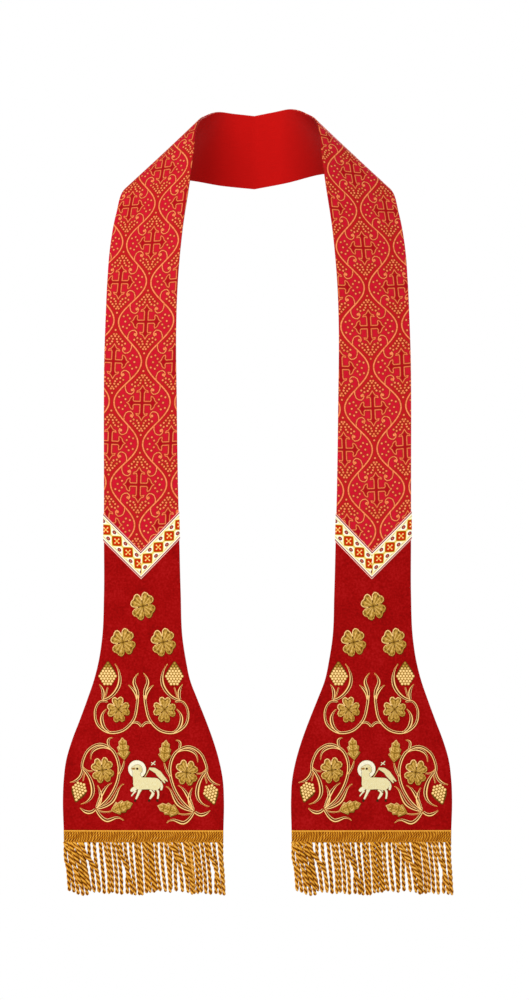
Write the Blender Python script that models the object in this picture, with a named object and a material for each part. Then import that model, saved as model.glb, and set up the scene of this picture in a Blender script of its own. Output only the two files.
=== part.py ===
"""A clerical stole in its worn form, with nobody in it.

The cloth is described once, as one surface. A table of sections runs from the
centre-back seam, round the neck, over the shoulder and down to the hem. A
section is a straight line across the cloth, from its inner edge (the neck
side) to its outer edge. Walls, trims and embroidery are layers on that
surface, each at its own height above it.

Frame: +Z up, the stole faces -Y, +X is to the right as seen from the front.
The origin is the middle of the neck opening. Tables and sizes are in
millimetres, and the meshes are in metres.
"""

import math
from bisect import bisect_right
from collections import namedtuple

import bmesh
import bpy
from mathutils import Vector
from mathutils.geometry import delaunay_2d_cdt

MM = 0.001
SIDES = {"left": -1.0, "right": 1.0}

# Layers of cloth, as thicknesses
SEAM_GAP = 0.3
WALL = 1.7  # face cloth on its stiff interlining
LINING = 1.0
GALLOON = 1.0
THREAD = 1.3  # padded gold thread over the panel

# Distances along the cloth from the centre-back seam, and the V seam between band and panel
HEM_RUN = 1231.0
SEAM_RUN = 780.0  # at both edges of the band
SEAM_POINT = 54.0  # how far the V reaches below its ends
COLUMNS = 4  # cells across the cloth
NECK_END = 470.0
NECK_STEP = 17.0
STRAIGHT_STEP = 44.0
FLARE_STEP = 21.0

# The cloth bows forward across its width, once it has left the shoulder
BOW_SHARE = 0.008
BOW_STARTS = 230.0
BOW_FULL = 460.0

# The back of the neck lies a little askew, as it does on any wearer
BACK_DEPTH = 100.0
BACK_SHIFT = -5.0
BACK_TILT = 0.045

Section = namedtuple("Section", "place run inner outer")
SECTIONS = (
    Section("centre back", 0, (0, 100, 108.5), (0, 123, -2.5)),
    Section("nape", 41, (29, 94, 112.5), (50, 116, 4.5)),
    Section("neck back", 87, (54, 76, 115), (103, 95, 14.5)),
    Section("neck side", 139, (75, 47, 107), (156, 56, 13)),
    Section("shoulder ridge", 196, (91, 5, 90), (201, 0, -10)),
    Section("collar", 249, (96.5, -27, 46), (214, -22, -50)),
    Section("upper chest", 304, (103.5, -50, -8), (222, -41, -97)),
    Section("chest", 365, (112.5, -66, -70), (226, -58, -150)),
    Section("breast", 426, (119, -80, -140), (228, -72, -200)),
    Section("lower breast", 504, (122, -92, -225), (230, -88, -268)),
    Section("waist", 592, (121, -98, -333), (230.5, -97, -341)),
    Section("hip", 705, (119.3, -101, -450), (230.3, -99, -450)),
    Section("seam", 800, (117, -103, -545), (230.2, -100, -545)),
    Section("above flare", 875, (115, -104, -620), (230.2, -100, -620)),
    Section("flare starts", 945, (112, -105, -690), (233.3, -99, -690)),
    Section("flare", 975, (107.3, -105.5, -720), (237.8, -98.5, -720)),
    Section("flare steepens", 1005, (101, -106, -750), (245.2, -98, -750)),
    Section("flare middle", 1035, (89.5, -106.5, -780), (255.5, -97.5, -780)),
    Section("flare eases", 1065, (77.5, -107, -810), (266.5, -97.5, -810)),
    Section("flare nears full", 1095, (66.5, -107, -840), (278, -98, -840)),
    Section("nearly full", 1125, (57.6, -107, -870), (286.8, -99, -870)),
    Section("full", 1155, (51.8, -107, -900), (290.6, -100, -900)),
    Section("widest", 1185, (50.2, -106.5, -930), (291.8, -101, -930)),
    Section("hem", HEM_RUN, (51, -106, -976), (290.5, -102, -976)),
    Section("below hem", 1350, (52, -105, -1095), (289.5, -104, -1095)),
)
RUNS = [row.run for row in SECTIONS]

# Galloon: a ribbon over the V seam
GALLOON_WIDTH = 28.0

# Fringe
STRANDS = 32
HEADER_HEIGHT = 17.0
HEADER_BACK = -0.6
HEADER_FRONT = 2.8
STRAND_LENGTH = 82.0
STRAND_WIDTH = 5.6
STRAND_DEPTH = 4.4
STRAND_LEAN = 5.5
CORNER_LEAN = 11.0  # the first strands lean more
CORNER_STRANDS = 12
STRAND_SWAY = 1.2
STRAND_SWAY_EVERY = 17
STRAND_UNEVEN = 7.0
STRAND_RINGS = (0.05, 0.36, 0.68, 1.0)

# Embroidery. A place is its distance across from the panel's middle line and its height over the hem.
THREAD_GAP = 0.45  # kept between pieces of embroidery that meet
STEM_STEP = 9.0
UPPER_AXIS = -1.5
LOWER_AXIS = 2.5
RIGHT_SPRAY_DROP = 3.5
LAMB_SHIFT = 2.5

Flower = namedtuple("Flower", "name across height turn radius")
UPPER_FLOWERS = (
    Flower("top", 0, 334, -30, 20.5),
    Flower("low_left", -31, 281, -30, 20.5),
    Flower("low_right", 30, 281, -30, 20.5),
)
SCROLL_FLOWER = Flower("scroll", 34, 181, 20, 18.5)
SPRAY_FLOWER = Flower("spray", 62, 91, 25, 18.0)

# One petal, as angles from its middle in degrees and shares of the flower's radius
PETAL = ((-45, 0.60), (-38, 0.86), (-25, 1.0), (-12, 0.98), (0, 0.87), (12, 0.98), (25, 1.0), (38, 0.86))

Leaf = namedtuple("Leaf", "name base tip half_width")
UPPER_LEAF = Leaf("upper", (30, 105), (32.5, 139), 8.5)
LOWER_LEAF = Leaf("lower", (50, 30), (19.5, 41.5), 8.0)
# Half of a toothed leaf, as shares of its length and half-width
LEAF_EDGE = ((0.10, 0.55), (0.24, 1.0), (0.36, 0.68), (0.52, 0.94), (0.62, 0.58), (0.78, 0.70), (0.84, 0.32))

Bunch = namedtuple("Bunch", "name top point half_width")
SCROLL_BUNCH = Bunch("scroll", (49.5, 217), (49, 254), 13.5)
SPRAY_BUNCH = Bunch("spray", (93, 74), (105, 43), 11.5)
# Half of a grape bunch, from its stalk to its point
BUNCH_EDGE = ((0.0, 0.30), (0.05, 0.72), (0.20, 0.98), (0.31, 0.88), (0.42, 0.94),
              (0.54, 0.72), (0.64, 0.72), (0.76, 0.44), (0.90, 0.30))

# Stems and blades: distances out from the design's axis and heights over the hem, with the
# widths at the start, the middle and the end
Stem = namedtuple("Stem", "start middle end points")
SCROLL_STEMS = (
    Stem(2.0, 3.2, 3.0, ((50, 193), (58, 196), (67, 188), (70.5, 176), (66.5, 160), (56, 148.5),
                         (43, 144), (28, 148.5), (16.5, 159), (9.5, 174), (6.5, 190), (5.5, 204))),
    Stem(3.0, 4.2, 1.2, ((6, 196), (6, 209), (11, 223), (8, 233), (2.6, 237))),
    Stem(2.6, 3.4, 1.2, ((6.4, 197), (10, 209), (19.5, 219))),
    Stem(2.4, 4.6, 1.2, ((59, 196), (44, 203), (34, 217), (32, 234), (40, 251))),
    Stem(2.4, 3.6, 1.2, ((58.5, 196), (57, 209), (63, 220.5))),
    Stem(1.6, 1.8, 1.6, ((55, 199), (52.5, 207), (50, 216))),
    Stem(1.4, 4.2, 2.0, ((51, 182), (59, 171), (57, 159), (45, 145.5))),
    Stem(2.0, 2.4, 2.4, ((17, 160), (8, 162.5), (0, 155.5))),
)
SPRAY_STEMS = (
    Stem(3.0, 3.4, 2.6, ((74, 33), (60, 43.5), (48, 60), (40.5, 78), (38.5, 96), (42, 112),
                         (52, 125), (65, 130.5), (80, 126.5), (90, 114), (93.5, 99), (92.5, 91))),
    Stem(2.4, 3.0, 1.2, ((92.8, 93), (98, 81), (105, 74.5), (113, 72.5))),
    Stem(2.4, 5.0, 1.2, ((92.6, 93), (83, 79), (78, 66), (79.5, 54), (87, 45.5), (97, 40))),
    Stem(1.6, 1.6, 1.6, ((89.6, 88.5), (92, 80), (93, 73))),
    Stem(1.8, 1.8, 1.8, ((93, 97), (86, 90.5), (77, 90))),
    Stem(2.0, 3.4, 1.2, ((45, 117), (55, 123.2), (68, 122.5), (78, 114), (79.5, 106))),
    Stem(2.2, 2.8, 1.2, ((52, 125), (55, 133), (52, 139.5), (46.5, 139.5))),
    Stem(2.0, 2.2, 1.6, ((39.2, 84), (33, 95), (30.3, 106))),
    Stem(3.0, 4.0, 1.2, ((73.5, 34), (67, 46), (66, 58), (71.5, 69))),
    Stem(3.0, 4.2, 1.2, ((74, 33), (80, 28.5), (89, 28.5), (98, 35))),
    Stem(2.6, 4.2, 1.2, ((72.5, 35), (64, 52), (58, 67.5), (49, 72))),
    Stem(2.6, 4.2, 1.2, ((73, 33.5), (57.5, 37), (46, 48), (38.5, 64), (31, 69.5))),
    Stem(1.8, 1.8, 1.6, ((72.5, 31.5), (61, 28.5), (49, 30))),
    Stem(2.6, 4.4, 1.2, ((73.5, 32.5), (66.5, 20.5), (54, 15), (41, 20), (32, 15))),
)

# The lamb, as overlapping simple shapes across from the panel's middle line and over the hem
Oval = namedtuple("Oval", "part centre half_width half_height tilt")
LAMB_OVALS = (
    Oval("halo", (-11, 92), 13.5, 13.5, 0),
    Oval("chest", (-5.5, 72), 9.5, 8.5, 30),
    Oval("body", (8, 71), 17.5, 9.0, 0),
    Oval("rump", (19, 68.5), 8.0, 10.0, 0),
)
Strip = namedtuple("Strip", "part start end points")
LAMB_STRIPS = (
    Strip("neck", 9.0, 13.0, ((-10, 88), (-7, 76))),
    Strip("raised front leg", 6.5, 2.6, ((-9, 68), (-19, 60), (-20.5, 49.5))),
    Strip("standing front leg", 7.0, 2.8, ((-6, 67), (-10, 54), (-15, 43.5))),
    Strip("near hind leg", 7.5, 2.8, ((12, 66), (13.5, 55), (7, 44.5))),
    Strip("far hind leg", 8.0, 2.8, ((20, 64), (18, 54), (18.5, 44))),
    Strip("tail", 4.0, 2.4, ((24.5, 72), (27, 64), (24.5, 57))),
    Strip("staff", 1.6, 1.6, ((-1, 76), (15, 103))),
    Strip("cross bar", 1.6, 1.6, ((9.5, 102), (17.5, 97.2))),
    Strip("banner", 8.0, 5.5, ((7, 92.5), (17, 88.5), (26, 80), (31, 70))),
)
OVAL_CORNERS = 14

PAINTS = {
    # name: colour, roughness, metallic
    "brocade": ((0.62, 0.012, 0.035), 0.55, 0.0),
    "panel_cloth": ((0.36, 0.004, 0.004), 0.85, 0.0),
    "galloon_weave": ((0.80, 0.62, 0.36), 0.6, 0.0),
    "lining_satin": ((0.50, 0.006, 0.008), 0.4, 0.0),
    "gold_fringe": ((0.62, 0.30, 0.06), 0.45, 0.3),
    "gold_thread": ((0.55, 0.36, 0.12), 0.4, 0.4),
    "cream_thread": ((0.85, 0.80, 0.62), 0.5, 0.0),
}


# ---------------------------------------------------------------- the cloth's surface


def slope(values, k):
    """The rate of change at row k of a table, from the rows beside it."""
    low, high = max(k - 1, 0), min(k + 1, len(RUNS) - 1)
    if low == k or high == k:
        return (values[high] - values[low]) / (RUNS[high] - RUNS[low])
    before, after = RUNS[k] - RUNS[low], RUNS[high] - RUNS[k]
    rise_before = (values[k] - values[low]) / before
    rise_after = (values[high] - values[k]) / after
    return (rise_before * after + rise_after * before) / (before + after)


def edge_point(edge, run):
    """Reads a smooth curve through one edge of the sections."""
    k = min(max(bisect_right(RUNS, run) - 1, 0), len(RUNS) - 2)
    span = RUNS[k + 1] - RUNS[k]
    t = (run - RUNS[k]) / span
    values = [Vector(getattr(row, edge)) for row in SECTIONS]
    a, b = values[k], values[k + 1]
    out, into = slope(values, k) * span, slope(values, k + 1) * span
    return (
        a * (2 * t**3 - 3 * t**2 + 1)
        + out * (t**3 - 2 * t**2 + t)
        + b * (3 * t**2 - 2 * t**3)
        + into * (t**3 - t**2)
    )


def ease(low, high, value):
    """Rises smoothly from 0 at low to 1 at high."""
    t = min(max((value - low) / (high - low), 0.0), 1.0)
    return t * t * (3 - 2 * t)


def cloth_point(run, across):
    """A point on the right half of the cloth. Across is -1 at the inner edge and 1 at the outer edge."""
    inner, outer = edge_point("inner", run), edge_point("outer", run)
    point = inner.lerp(outer, (across + 1) / 2)
    bow = BOW_SHARE * (outer - inner).length * ease(BOW_STARTS, BOW_FULL, run)
    point.y -= bow * (1 - across * across)
    return point


def on_cloth(side, run, across, height):
    """A point at a height over either half of the cloth, in metres."""
    point = cloth_point(run, across)
    along = cloth_point(run + 0.5, across) - cloth_point(run - 0.5, across)
    over = cloth_point(run, across + 0.01) - cloth_point(run, across - 0.01)
    point += along.cross(over).normalized() * height
    point.x = side * max(point.x, SEAM_GAP / 2)
    behind = ease(0, BACK_DEPTH, point.y)
    point.z += BACK_TILT * point.x * behind
    point.x += BACK_SHIFT * behind
    return point * MM


def half_width(run):
    """Half of the cloth's width where it hangs plumb."""
    return (edge_point("outer", run) - edge_point("inner", run)).length / 2


def on_panel(side, across, over_hem, height):
    """A point of the embroidery, placed in mm from the panel's middle line and over its hem."""
    run = HEM_RUN - over_hem
    return on_cloth(side, run, side * across / half_width(run), height)


# ---------------------------------------------------------------- making solids


def paint(name):
    colour, roughness, metallic = PAINTS[name]
    material = bpy.data.materials.get(name)
    if material is None:
        material = bpy.data.materials.new(name)
        material.use_nodes = True
        shader = material.node_tree.nodes["Principled BSDF"]
        shader.inputs["Base Color"].default_value = (*colour, 1.0)
        shader.inputs["Roughness"].default_value = roughness
        shader.inputs["Metallic"].default_value = metallic
    return material


def finish(name, bm, material):
    """Turns a bmesh into a named object with its faces pointing out."""
    bmesh.ops.recalc_face_normals(bm, faces=bm.faces)
    mesh = bpy.data.meshes.new(name)
    bm.to_mesh(mesh)
    bm.free()
    mesh.materials.append(paint(material))
    solid = bpy.data.objects.new(name, mesh)
    bpy.context.collection.objects.link(solid)
    return solid


def thicken(bm, places, low, high, lay):
    """Extrudes a flat sheet. Places maps each vertex to its place, and lay puts that in space."""
    extruded = bmesh.ops.extrude_face_region(bm, geom=bm.faces[:], use_keep_orig=True)
    top = [item for item in extruded["geom"] if isinstance(item, bmesh.types.BMVert)]
    order = {tuple(vert.co): place for vert, place in places.items()}
    raised = {vert: order[tuple(vert.co)] for vert in top}
    for vert, place in raised.items():
        vert.co = lay(*place, high)
    for vert, place in places.items():
        vert.co = lay(*place, low)


def cloth_wall(name, side, row_runs, low, high, material):
    """A closed wall on the cloth. Each row gives a run for a place across."""
    bm = bmesh.new()
    rows = len(row_runs)
    bmesh.ops.create_grid(bm, x_segments=COLUMNS, y_segments=rows - 1, size=1)
    bmesh.ops.triangulate(bm, faces=bm.faces, quad_method="FIXED")
    places = {}
    for vert in bm.verts:
        row = row_runs[round((vert.co.y + 1) / 2 * (rows - 1))]
        places[vert] = (row(vert.co.x), vert.co.x)
    thicken(bm, places, low, high, lambda run, across, height: on_cloth(side, run, across, height))
    return finish(name, bm, material)


def raised_design(name, side, shapes, keep_clear, material):
    """Raises the union of simple flat shapes over the panel, and leaves out what must be kept clear."""
    points, faces = [], []
    for shape in list(shapes) + list(keep_clear):
        faces.append(list(range(len(points), len(points) + len(shape))))
        points.extend(Vector(p) for p in shape)
    verts, _, cells, _, _, owners = delaunay_2d_cdt(points, [], faces, 1, 1e-4, True)
    wanted = set(range(len(shapes)))
    kept = [
        cell
        for cell, owner in zip(cells, owners)
        if owner and set(owner) <= wanted
    ]
    bm = bmesh.new()
    made = {}
    for cell in kept:
        for i in cell:
            if i not in made:
                made[i] = bm.verts.new((*verts[i], 0))
        bm.faces.new([made[i] for i in cell])
    drop_islands(bm)
    places = {vert: (vert.co.x, vert.co.y) for vert in bm.verts}
    low = WALL + SEAM_GAP
    thicken(bm, places, low, low + THREAD, lambda a, b, height: on_panel(side, a, b, height))
    return finish(name, bm, material)


def drop_islands(bm):
    """Keeps the largest patch of faces joined by edges, and deletes the rest."""
    left, patches = set(bm.faces), []
    while left:
        patch, front = set(), [left.pop()]
        while front:
            face = front.pop()
            patch.add(face)
            for edge in face.edges:
                for other in edge.link_faces:
                    if other in left:
                        left.discard(other)
                        front.append(other)
        patches.append(patch)
    largest = max(patches, key=lambda patch: sum(face.calc_area() for face in patch))
    small = [face for patch in patches if patch is not largest for face in patch]
    bmesh.ops.delete(bm, geom=small, context="FACES")


# ---------------------------------------------------------------- flat outlines of the embroidery


def smooth_path(points, step):
    """Points about a step apart on a smooth curve through the given ones."""
    ends = [Vector(p) for p in points]
    ends = [ends[0] * 2 - ends[1], *ends, ends[-1] * 2 - ends[-2]]
    path = []
    for a, b, c, d in zip(ends, ends[1:], ends[2:], ends[3:]):
        pieces = max(1, round((c - b).length / step))
        for k in range(pieces):
            t = k / pieces
            bend = (2 * a - 5 * b + 4 * c - d) * t**2 + (3 * b - a - 3 * c + d) * t**3
            path.append((2 * b + (c - a) * t + bend) / 2)
    return path + [ends[-2]]


def stroke(path, width_at):
    """A chain of four-cornered cells along a path, as wide as width_at says at each share of it."""
    left, right = [], []
    for k, point in enumerate(path):
        ahead = path[min(k + 1, len(path) - 1)] - path[max(k - 1, 0)]
        off = Vector((-ahead.y, ahead.x)).normalized() * width_at(k / (len(path) - 1)) / 2
        left.append(point + off)
        right.append(point - off)
    return [
        (left[k], right[k], right[k + 1], left[k + 1])
        for k in range(len(path) - 1)
    ]


def stem_cells(stem, place):
    """A stem or blade whose width swells to its middle."""

    def width_at(share):
        if share < 0.5:
            return stem.start + (stem.middle - stem.start) * ease(0, 0.5, share)
        return stem.middle + (stem.end - stem.middle) * ease(0.5, 1, share)

    points = [place(*point) for point in stem.points]
    return stroke(smooth_path(points, STEM_STEP), width_at)


def flower_outline(centre, turn, radius, grow=0.0):
    outline = []
    for petal in range(4):
        for angle, share in PETAL:
            theta = math.radians(turn + 90 * petal + angle)
            reach = radius * share + grow
            outline.append((centre[0] + reach * math.cos(theta), centre[1] + reach * math.sin(theta)))
    return outline


def two_sided_outline(ends, width, edge, grow=0.0):
    """An outline round a line from base to tip, with its half-width given: a leaf or a bunch of grapes."""
    base, tip = ends
    along = (tip - base).normalized()
    off = Vector((-along.y, along.x))
    length = (tip - base).length
    left = [base + along * length * s + off * (width * w + grow) for s, w in edge]
    right = [base + along * length * s - off * (width * w + grow) for s, w in edge]
    return [base - along * grow, *right, tip + along * grow, *reversed(left)]


def oval_outline(oval, place):
    """A turned oval, counter-clockwise."""
    tilt = math.radians(oval.tilt)
    outline = []
    for k in range(OVAL_CORNERS):
        theta = 2 * math.pi * k / OVAL_CORNERS
        x, y = oval.half_width * math.cos(theta), oval.half_height * math.sin(theta)
        across = oval.centre[0] + x * math.cos(tilt) - y * math.sin(tilt)
        height = oval.centre[1] + x * math.sin(tilt) + y * math.cos(tilt)
        outline.append(place(across, height))
    return outline


# ---------------------------------------------------------------- the pieces


def even_rows(start, stop, step):
    """Runs about a step apart, from start to stop."""
    pieces = max(1, round((stop - start) / step))
    return [start + (stop - start) * k / pieces for k in range(pieces + 1)]


def level(run):
    """A row of the wall that runs straight across."""
    return lambda across: run


def seam(offset):
    """A row that follows the V seam, at an offset along the cloth."""
    return lambda across: SEAM_RUN + SEAM_POINT * (1 - abs(across)) + offset


def between(first, last, share):
    """A row part of the way from one row to another."""
    return lambda across: first(across) + (last(across) - first(across)) * share


def band_rows(offset):
    """Rows of an upper band: close together round the neck, and bent into the V at their end."""
    bend = SEAM_RUN - STRAIGHT_STEP
    runs = even_rows(SEAM_GAP / 2, NECK_END, NECK_STEP) + even_rows(NECK_END, bend, STRAIGHT_STEP)[1:]
    rows = [level(run) for run in runs]
    return rows + [between(level(bend), seam(offset), share) for share in (0.5, 1.0)]


def panel_rows(offset):
    """Rows of a lower panel, from the V seam down to the level hem."""
    straight = SEAM_RUN + SEAM_POINT + STRAIGHT_STEP
    rows = [between(seam(offset), level(straight), share) for share in (0.0, 0.5)]
    return rows + [level(run) for run in even_rows(straight, HEM_RUN, FLARE_STEP)]


def make_cloth(label, side):
    """The band, the panel under it and the lining behind them both."""
    cloth_wall(f"band_{label}", side, band_rows(-SEAM_GAP / 2), 0, WALL, "brocade")
    cloth_wall(f"panel_{label}", side, panel_rows(SEAM_GAP / 2), 0, WALL, "panel_cloth")
    rows = band_rows(0) + panel_rows(0)[1:]
    cloth_wall(f"lining_{label}", side, rows, -SEAM_GAP - LINING, -SEAM_GAP, "lining_satin")


def make_galloon(label, side):
    """A ribbon folded to a V, lying over the seam."""
    half = GALLOON_WIDTH / math.sqrt(2)
    low = WALL + SEAM_GAP
    rows = [seam(offset) for offset in (-half, 0, half)]
    cloth_wall(f"galloon_{label}", side, rows, low, low + GALLOON, "galloon_weave")


def strand_ring(face, centre):
    """Sets the four corners of a strand's end face round its centre."""
    middle = face.calc_center_median()
    for vert in face.verts:
        right = 1 if vert.co.x > middle.x else -1
        back = 1 if vert.co.y > middle.y else -1
        vert.co = centre + Vector((right * STRAND_WIDTH, back * STRAND_DEPTH, 0)) / 2 * MM


def make_fringe(label, side):
    """A woven header below the hem, with strands that hang from its lower edge."""
    top_run = HEM_RUN + SEAM_GAP
    bm = bmesh.new()
    bmesh.ops.create_grid(bm, x_segments=STRANDS, y_segments=1, size=1)
    roots = sorted(bm.faces, key=lambda face: face.calc_center_median().x * side)
    places = {}
    for vert in bm.verts:
        places[vert] = (vert.co.x, HEADER_BACK if vert.co.y < 0 else HEADER_FRONT)
    root_run = top_run + HEADER_HEIGHT
    thicken(bm, places, root_run, top_run, lambda across, depth, run: on_cloth(side, run, across, depth))
    for k, root in enumerate(roots):
        hang_strand(bm, root, k)
    return finish(f"fringe_{label}", bm, "gold_fringe")


def hang_strand(bm, root, k):
    """Extrudes one strand from its root face, straight down with a slight lean."""
    start = root.calc_center_median()
    phase = 2 * math.pi * k / STRAND_SWAY_EVERY
    length = STRAND_LENGTH - STRAND_UNEVEN * (0.5 + 0.5 * math.sin(2.3 * phase + k))
    lean = CORNER_LEAN + (STRAND_LEAN - CORNER_LEAN) * ease(0, CORNER_STRANDS, k)
    face = root
    for share in STRAND_RINGS:
        face = bmesh.ops.extrude_discrete_faces(bm, faces=[face])["faces"][0]
        drift = (lean + STRAND_SWAY * math.sin(phase)) * share
        strand_ring(face, start + Vector((drift, 0, -length * share)) * MM)


def design_place(axis, hand, drop=0.0):
    """Places a half design: hand is -1 for its left half and 1 for its right half."""
    return lambda out, height: Vector((axis + hand * out, height - drop))


def make_two_sided(side, name, ends, width, edge):
    """A leaf or a bunch of grapes. Returns the outline that stems are kept out of."""
    raised_design(name, side, [two_sided_outline(ends, width, edge)], [], "gold_thread")
    return two_sided_outline(ends, width, edge, THREAD_GAP)


def place_bunch(side, name, bunch, place):
    return make_two_sided(side, name, (place(*bunch.top), place(*bunch.point)), bunch.half_width, BUNCH_EDGE)


def place_flower(side, name, flower, place, hand):
    """A flower of four petals. Returns the outline that stems are kept out of."""
    centre, turn = place(flower.across, flower.height), hand * flower.turn
    raised_design(name, side, [flower_outline(centre, turn, flower.radius)], [], "gold_thread")
    return flower_outline(centre, turn, flower.radius, THREAD_GAP)


def make_scrolls(label, side):
    """The upper pair of scrolls: two flowers, two bunches of grapes and the stems that join them."""
    cells, clear = [], []
    for hand, word in ((-1, "a"), (1, "b")):
        place = design_place(UPPER_AXIS, hand)
        clear.append(place_flower(side, f"flower_scroll_{word}_{label}", SCROLL_FLOWER, place, -hand))
        clear.append(place_bunch(side, f"grapes_scroll_{word}_{label}", SCROLL_BUNCH, place))
        for stem in SCROLL_STEMS:
            cells += stem_cells(stem, place)
    raised_design(f"scrolls_{label}", side, cells, clear, "gold_thread")


def make_spray(label, side, hand, word):
    """One lower spray of vine, with its flower, bunch of grapes and two leaves."""
    place = design_place(LOWER_AXIS, hand, RIGHT_SPRAY_DROP if hand > 0 else 0)
    tag = f"{word}_{label}"
    clear = [place_flower(side, f"flower_spray_{tag}", SPRAY_FLOWER, place, -hand)]
    clear.append(place_bunch(side, f"grapes_spray_{tag}", SPRAY_BUNCH, place))
    for leaf in (UPPER_LEAF, LOWER_LEAF):
        name, ends = f"leaf_{leaf.name}_{tag}", (place(*leaf.base), place(*leaf.tip))
        clear.append(make_two_sided(side, name, ends, leaf.half_width, LEAF_EDGE))
    cells = [cell for stem in SPRAY_STEMS for cell in stem_cells(stem, place)]
    raised_design(f"spray_{tag}", side, cells, clear, "gold_thread")


def make_lamb(label, side):
    """A walking lamb with a halo, a cross on a staff and a forked banner."""
    place = design_place(LAMB_SHIFT, 1)
    shapes = [oval_outline(oval, place) for oval in LAMB_OVALS]
    for strip in LAMB_STRIPS:
        path = smooth_path([place(*point) for point in strip.points], STEM_STEP)
        shapes += stroke(path, lambda share, s=strip: s.start + (s.end - s.start) * share)
    raised_design(f"lamb_{label}", side, shapes, [], "cream_thread")


def make_embroidery(label, side):
    for flower in UPPER_FLOWERS:
        place_flower(side, f"flower_{flower.name}_{label}", flower, design_place(0, 1), 1)
    make_scrolls(label, side)
    make_spray(label, side, -1, "a")
    make_spray(label, side, 1, "b")
    make_lamb(label, side)


def main():
    for old in list(bpy.data.objects):
        bpy.data.objects.remove(old)
    for label, side in SIDES.items():
        make_cloth(label, side)
        make_galloon(label, side)
        make_fringe(label, side)
        make_embroidery(label, side)


main()
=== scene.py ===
"""Dresses a clerical stole in its worn form.

Two brocade bands meet behind the neck and hang in front. Each ends in a V with a woven galloon
over the seam, and a red panel with gold embroidery and a lamb below it. Twisted fringe hangs from
the hems, and a satin lining runs behind it all from hem to hem.

The cloth is one surface, as in the model that this script dresses. A table of sections gives its
two edges, and every piece is laid on it by a run (the distance along the cloth from the centre
back), a share across (-1 at the neck side, 1 at the outer edge) and a height over it. Tables are
in millimetres, and meshes and settings are in metres.

Materials read two things from a mesh: its UV map "cloth", which is in millimetres on a sheet, and
its attribute "tone", which runs from 0 (dark thread) to 1 (light thread) and holds painted light
and shade as well as the threads' own colour.
"""

import functools
import math
import random
from bisect import bisect_right
from collections import namedtuple
from itertools import accumulate

import bmesh
import bpy
from bpy.props import FloatProperty, FloatVectorProperty, IntProperty, PointerProperty
from bpy.types import Operator, Panel, PropertyGroup
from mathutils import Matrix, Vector
from mathutils.geometry import delaunay_2d_cdt


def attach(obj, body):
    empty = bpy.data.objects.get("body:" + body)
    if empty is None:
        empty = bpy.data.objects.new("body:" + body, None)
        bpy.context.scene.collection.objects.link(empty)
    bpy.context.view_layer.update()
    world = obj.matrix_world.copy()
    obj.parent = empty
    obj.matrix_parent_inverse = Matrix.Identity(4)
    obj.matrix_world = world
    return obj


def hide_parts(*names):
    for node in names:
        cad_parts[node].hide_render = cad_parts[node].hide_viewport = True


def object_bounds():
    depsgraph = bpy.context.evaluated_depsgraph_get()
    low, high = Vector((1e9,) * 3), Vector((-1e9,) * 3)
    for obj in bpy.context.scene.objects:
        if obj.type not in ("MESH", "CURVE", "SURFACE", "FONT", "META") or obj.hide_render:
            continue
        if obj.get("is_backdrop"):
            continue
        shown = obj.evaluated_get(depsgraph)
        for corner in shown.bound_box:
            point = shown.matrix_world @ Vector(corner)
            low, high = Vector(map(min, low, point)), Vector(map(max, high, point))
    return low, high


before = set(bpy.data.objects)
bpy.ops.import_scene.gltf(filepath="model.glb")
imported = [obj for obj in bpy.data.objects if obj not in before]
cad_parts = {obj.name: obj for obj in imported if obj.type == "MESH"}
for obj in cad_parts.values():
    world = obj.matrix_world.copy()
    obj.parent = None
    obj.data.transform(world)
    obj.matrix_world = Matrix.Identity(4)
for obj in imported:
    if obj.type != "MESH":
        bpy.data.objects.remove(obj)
cad_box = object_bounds()

bl_info = {
    "name": "Clerical stole",
    "version": (1, 0, 0),
    "blender": (4, 5, 0),
    "location": "3D View > Sidebar > Stole",
    "description": "Builds the cloth, embroidery, galloon and fringe of a stole round its model",
    "category": "Object",
}

MM = 0.001
FLAT_MAP = "cloth"
TONE = "tone"

# The stole's two sides, and the left and right half of a panel's design, as seen from the front
SIDES = {"left": -1.0, "right": 1.0}
HANDS = {"a": -1, "b": 1}

# How close the points of a rolled mesh lie, in metres, where they are welded into one
WELD = 0.000002

# The gap where two pieces meet, and the thickness of each layer of cloth
SEAM_GAP = 0.3
WALL = 1.7
LINING_WALL = 1.0
GALLOON_WALL = 1.0

# Distances along the cloth. The seam is a V, and its tip lies a little to the left of the middle.
HEM_RUN = 1231.0
SEAM_RUN = 775.1
SEAM_POINT = 57.6
SEAM_TIP = 0.028
BAND_BEND = 64.0
PANEL_BEND = 104.0
TRAVEL_STEP = 6.0

# Columns and rows of each sheet's faces
BAND_GRID = (36, 220)
PANEL_GRID = (40, 110)
LINING_GRID = (28, 420)
RIBBON_GRID = (40, 16)

# The cloth bows forward across its width, once it has left the shoulder
BOW_SHARE = 0.008
BOW_STARTS = 230.0
BOW_FULL = 460.0

# The back of the neck lies a little askew
BACK_DEPTH = 100.0
BACK_SHIFT = -5.0
BACK_TILT = 0.045

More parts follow.
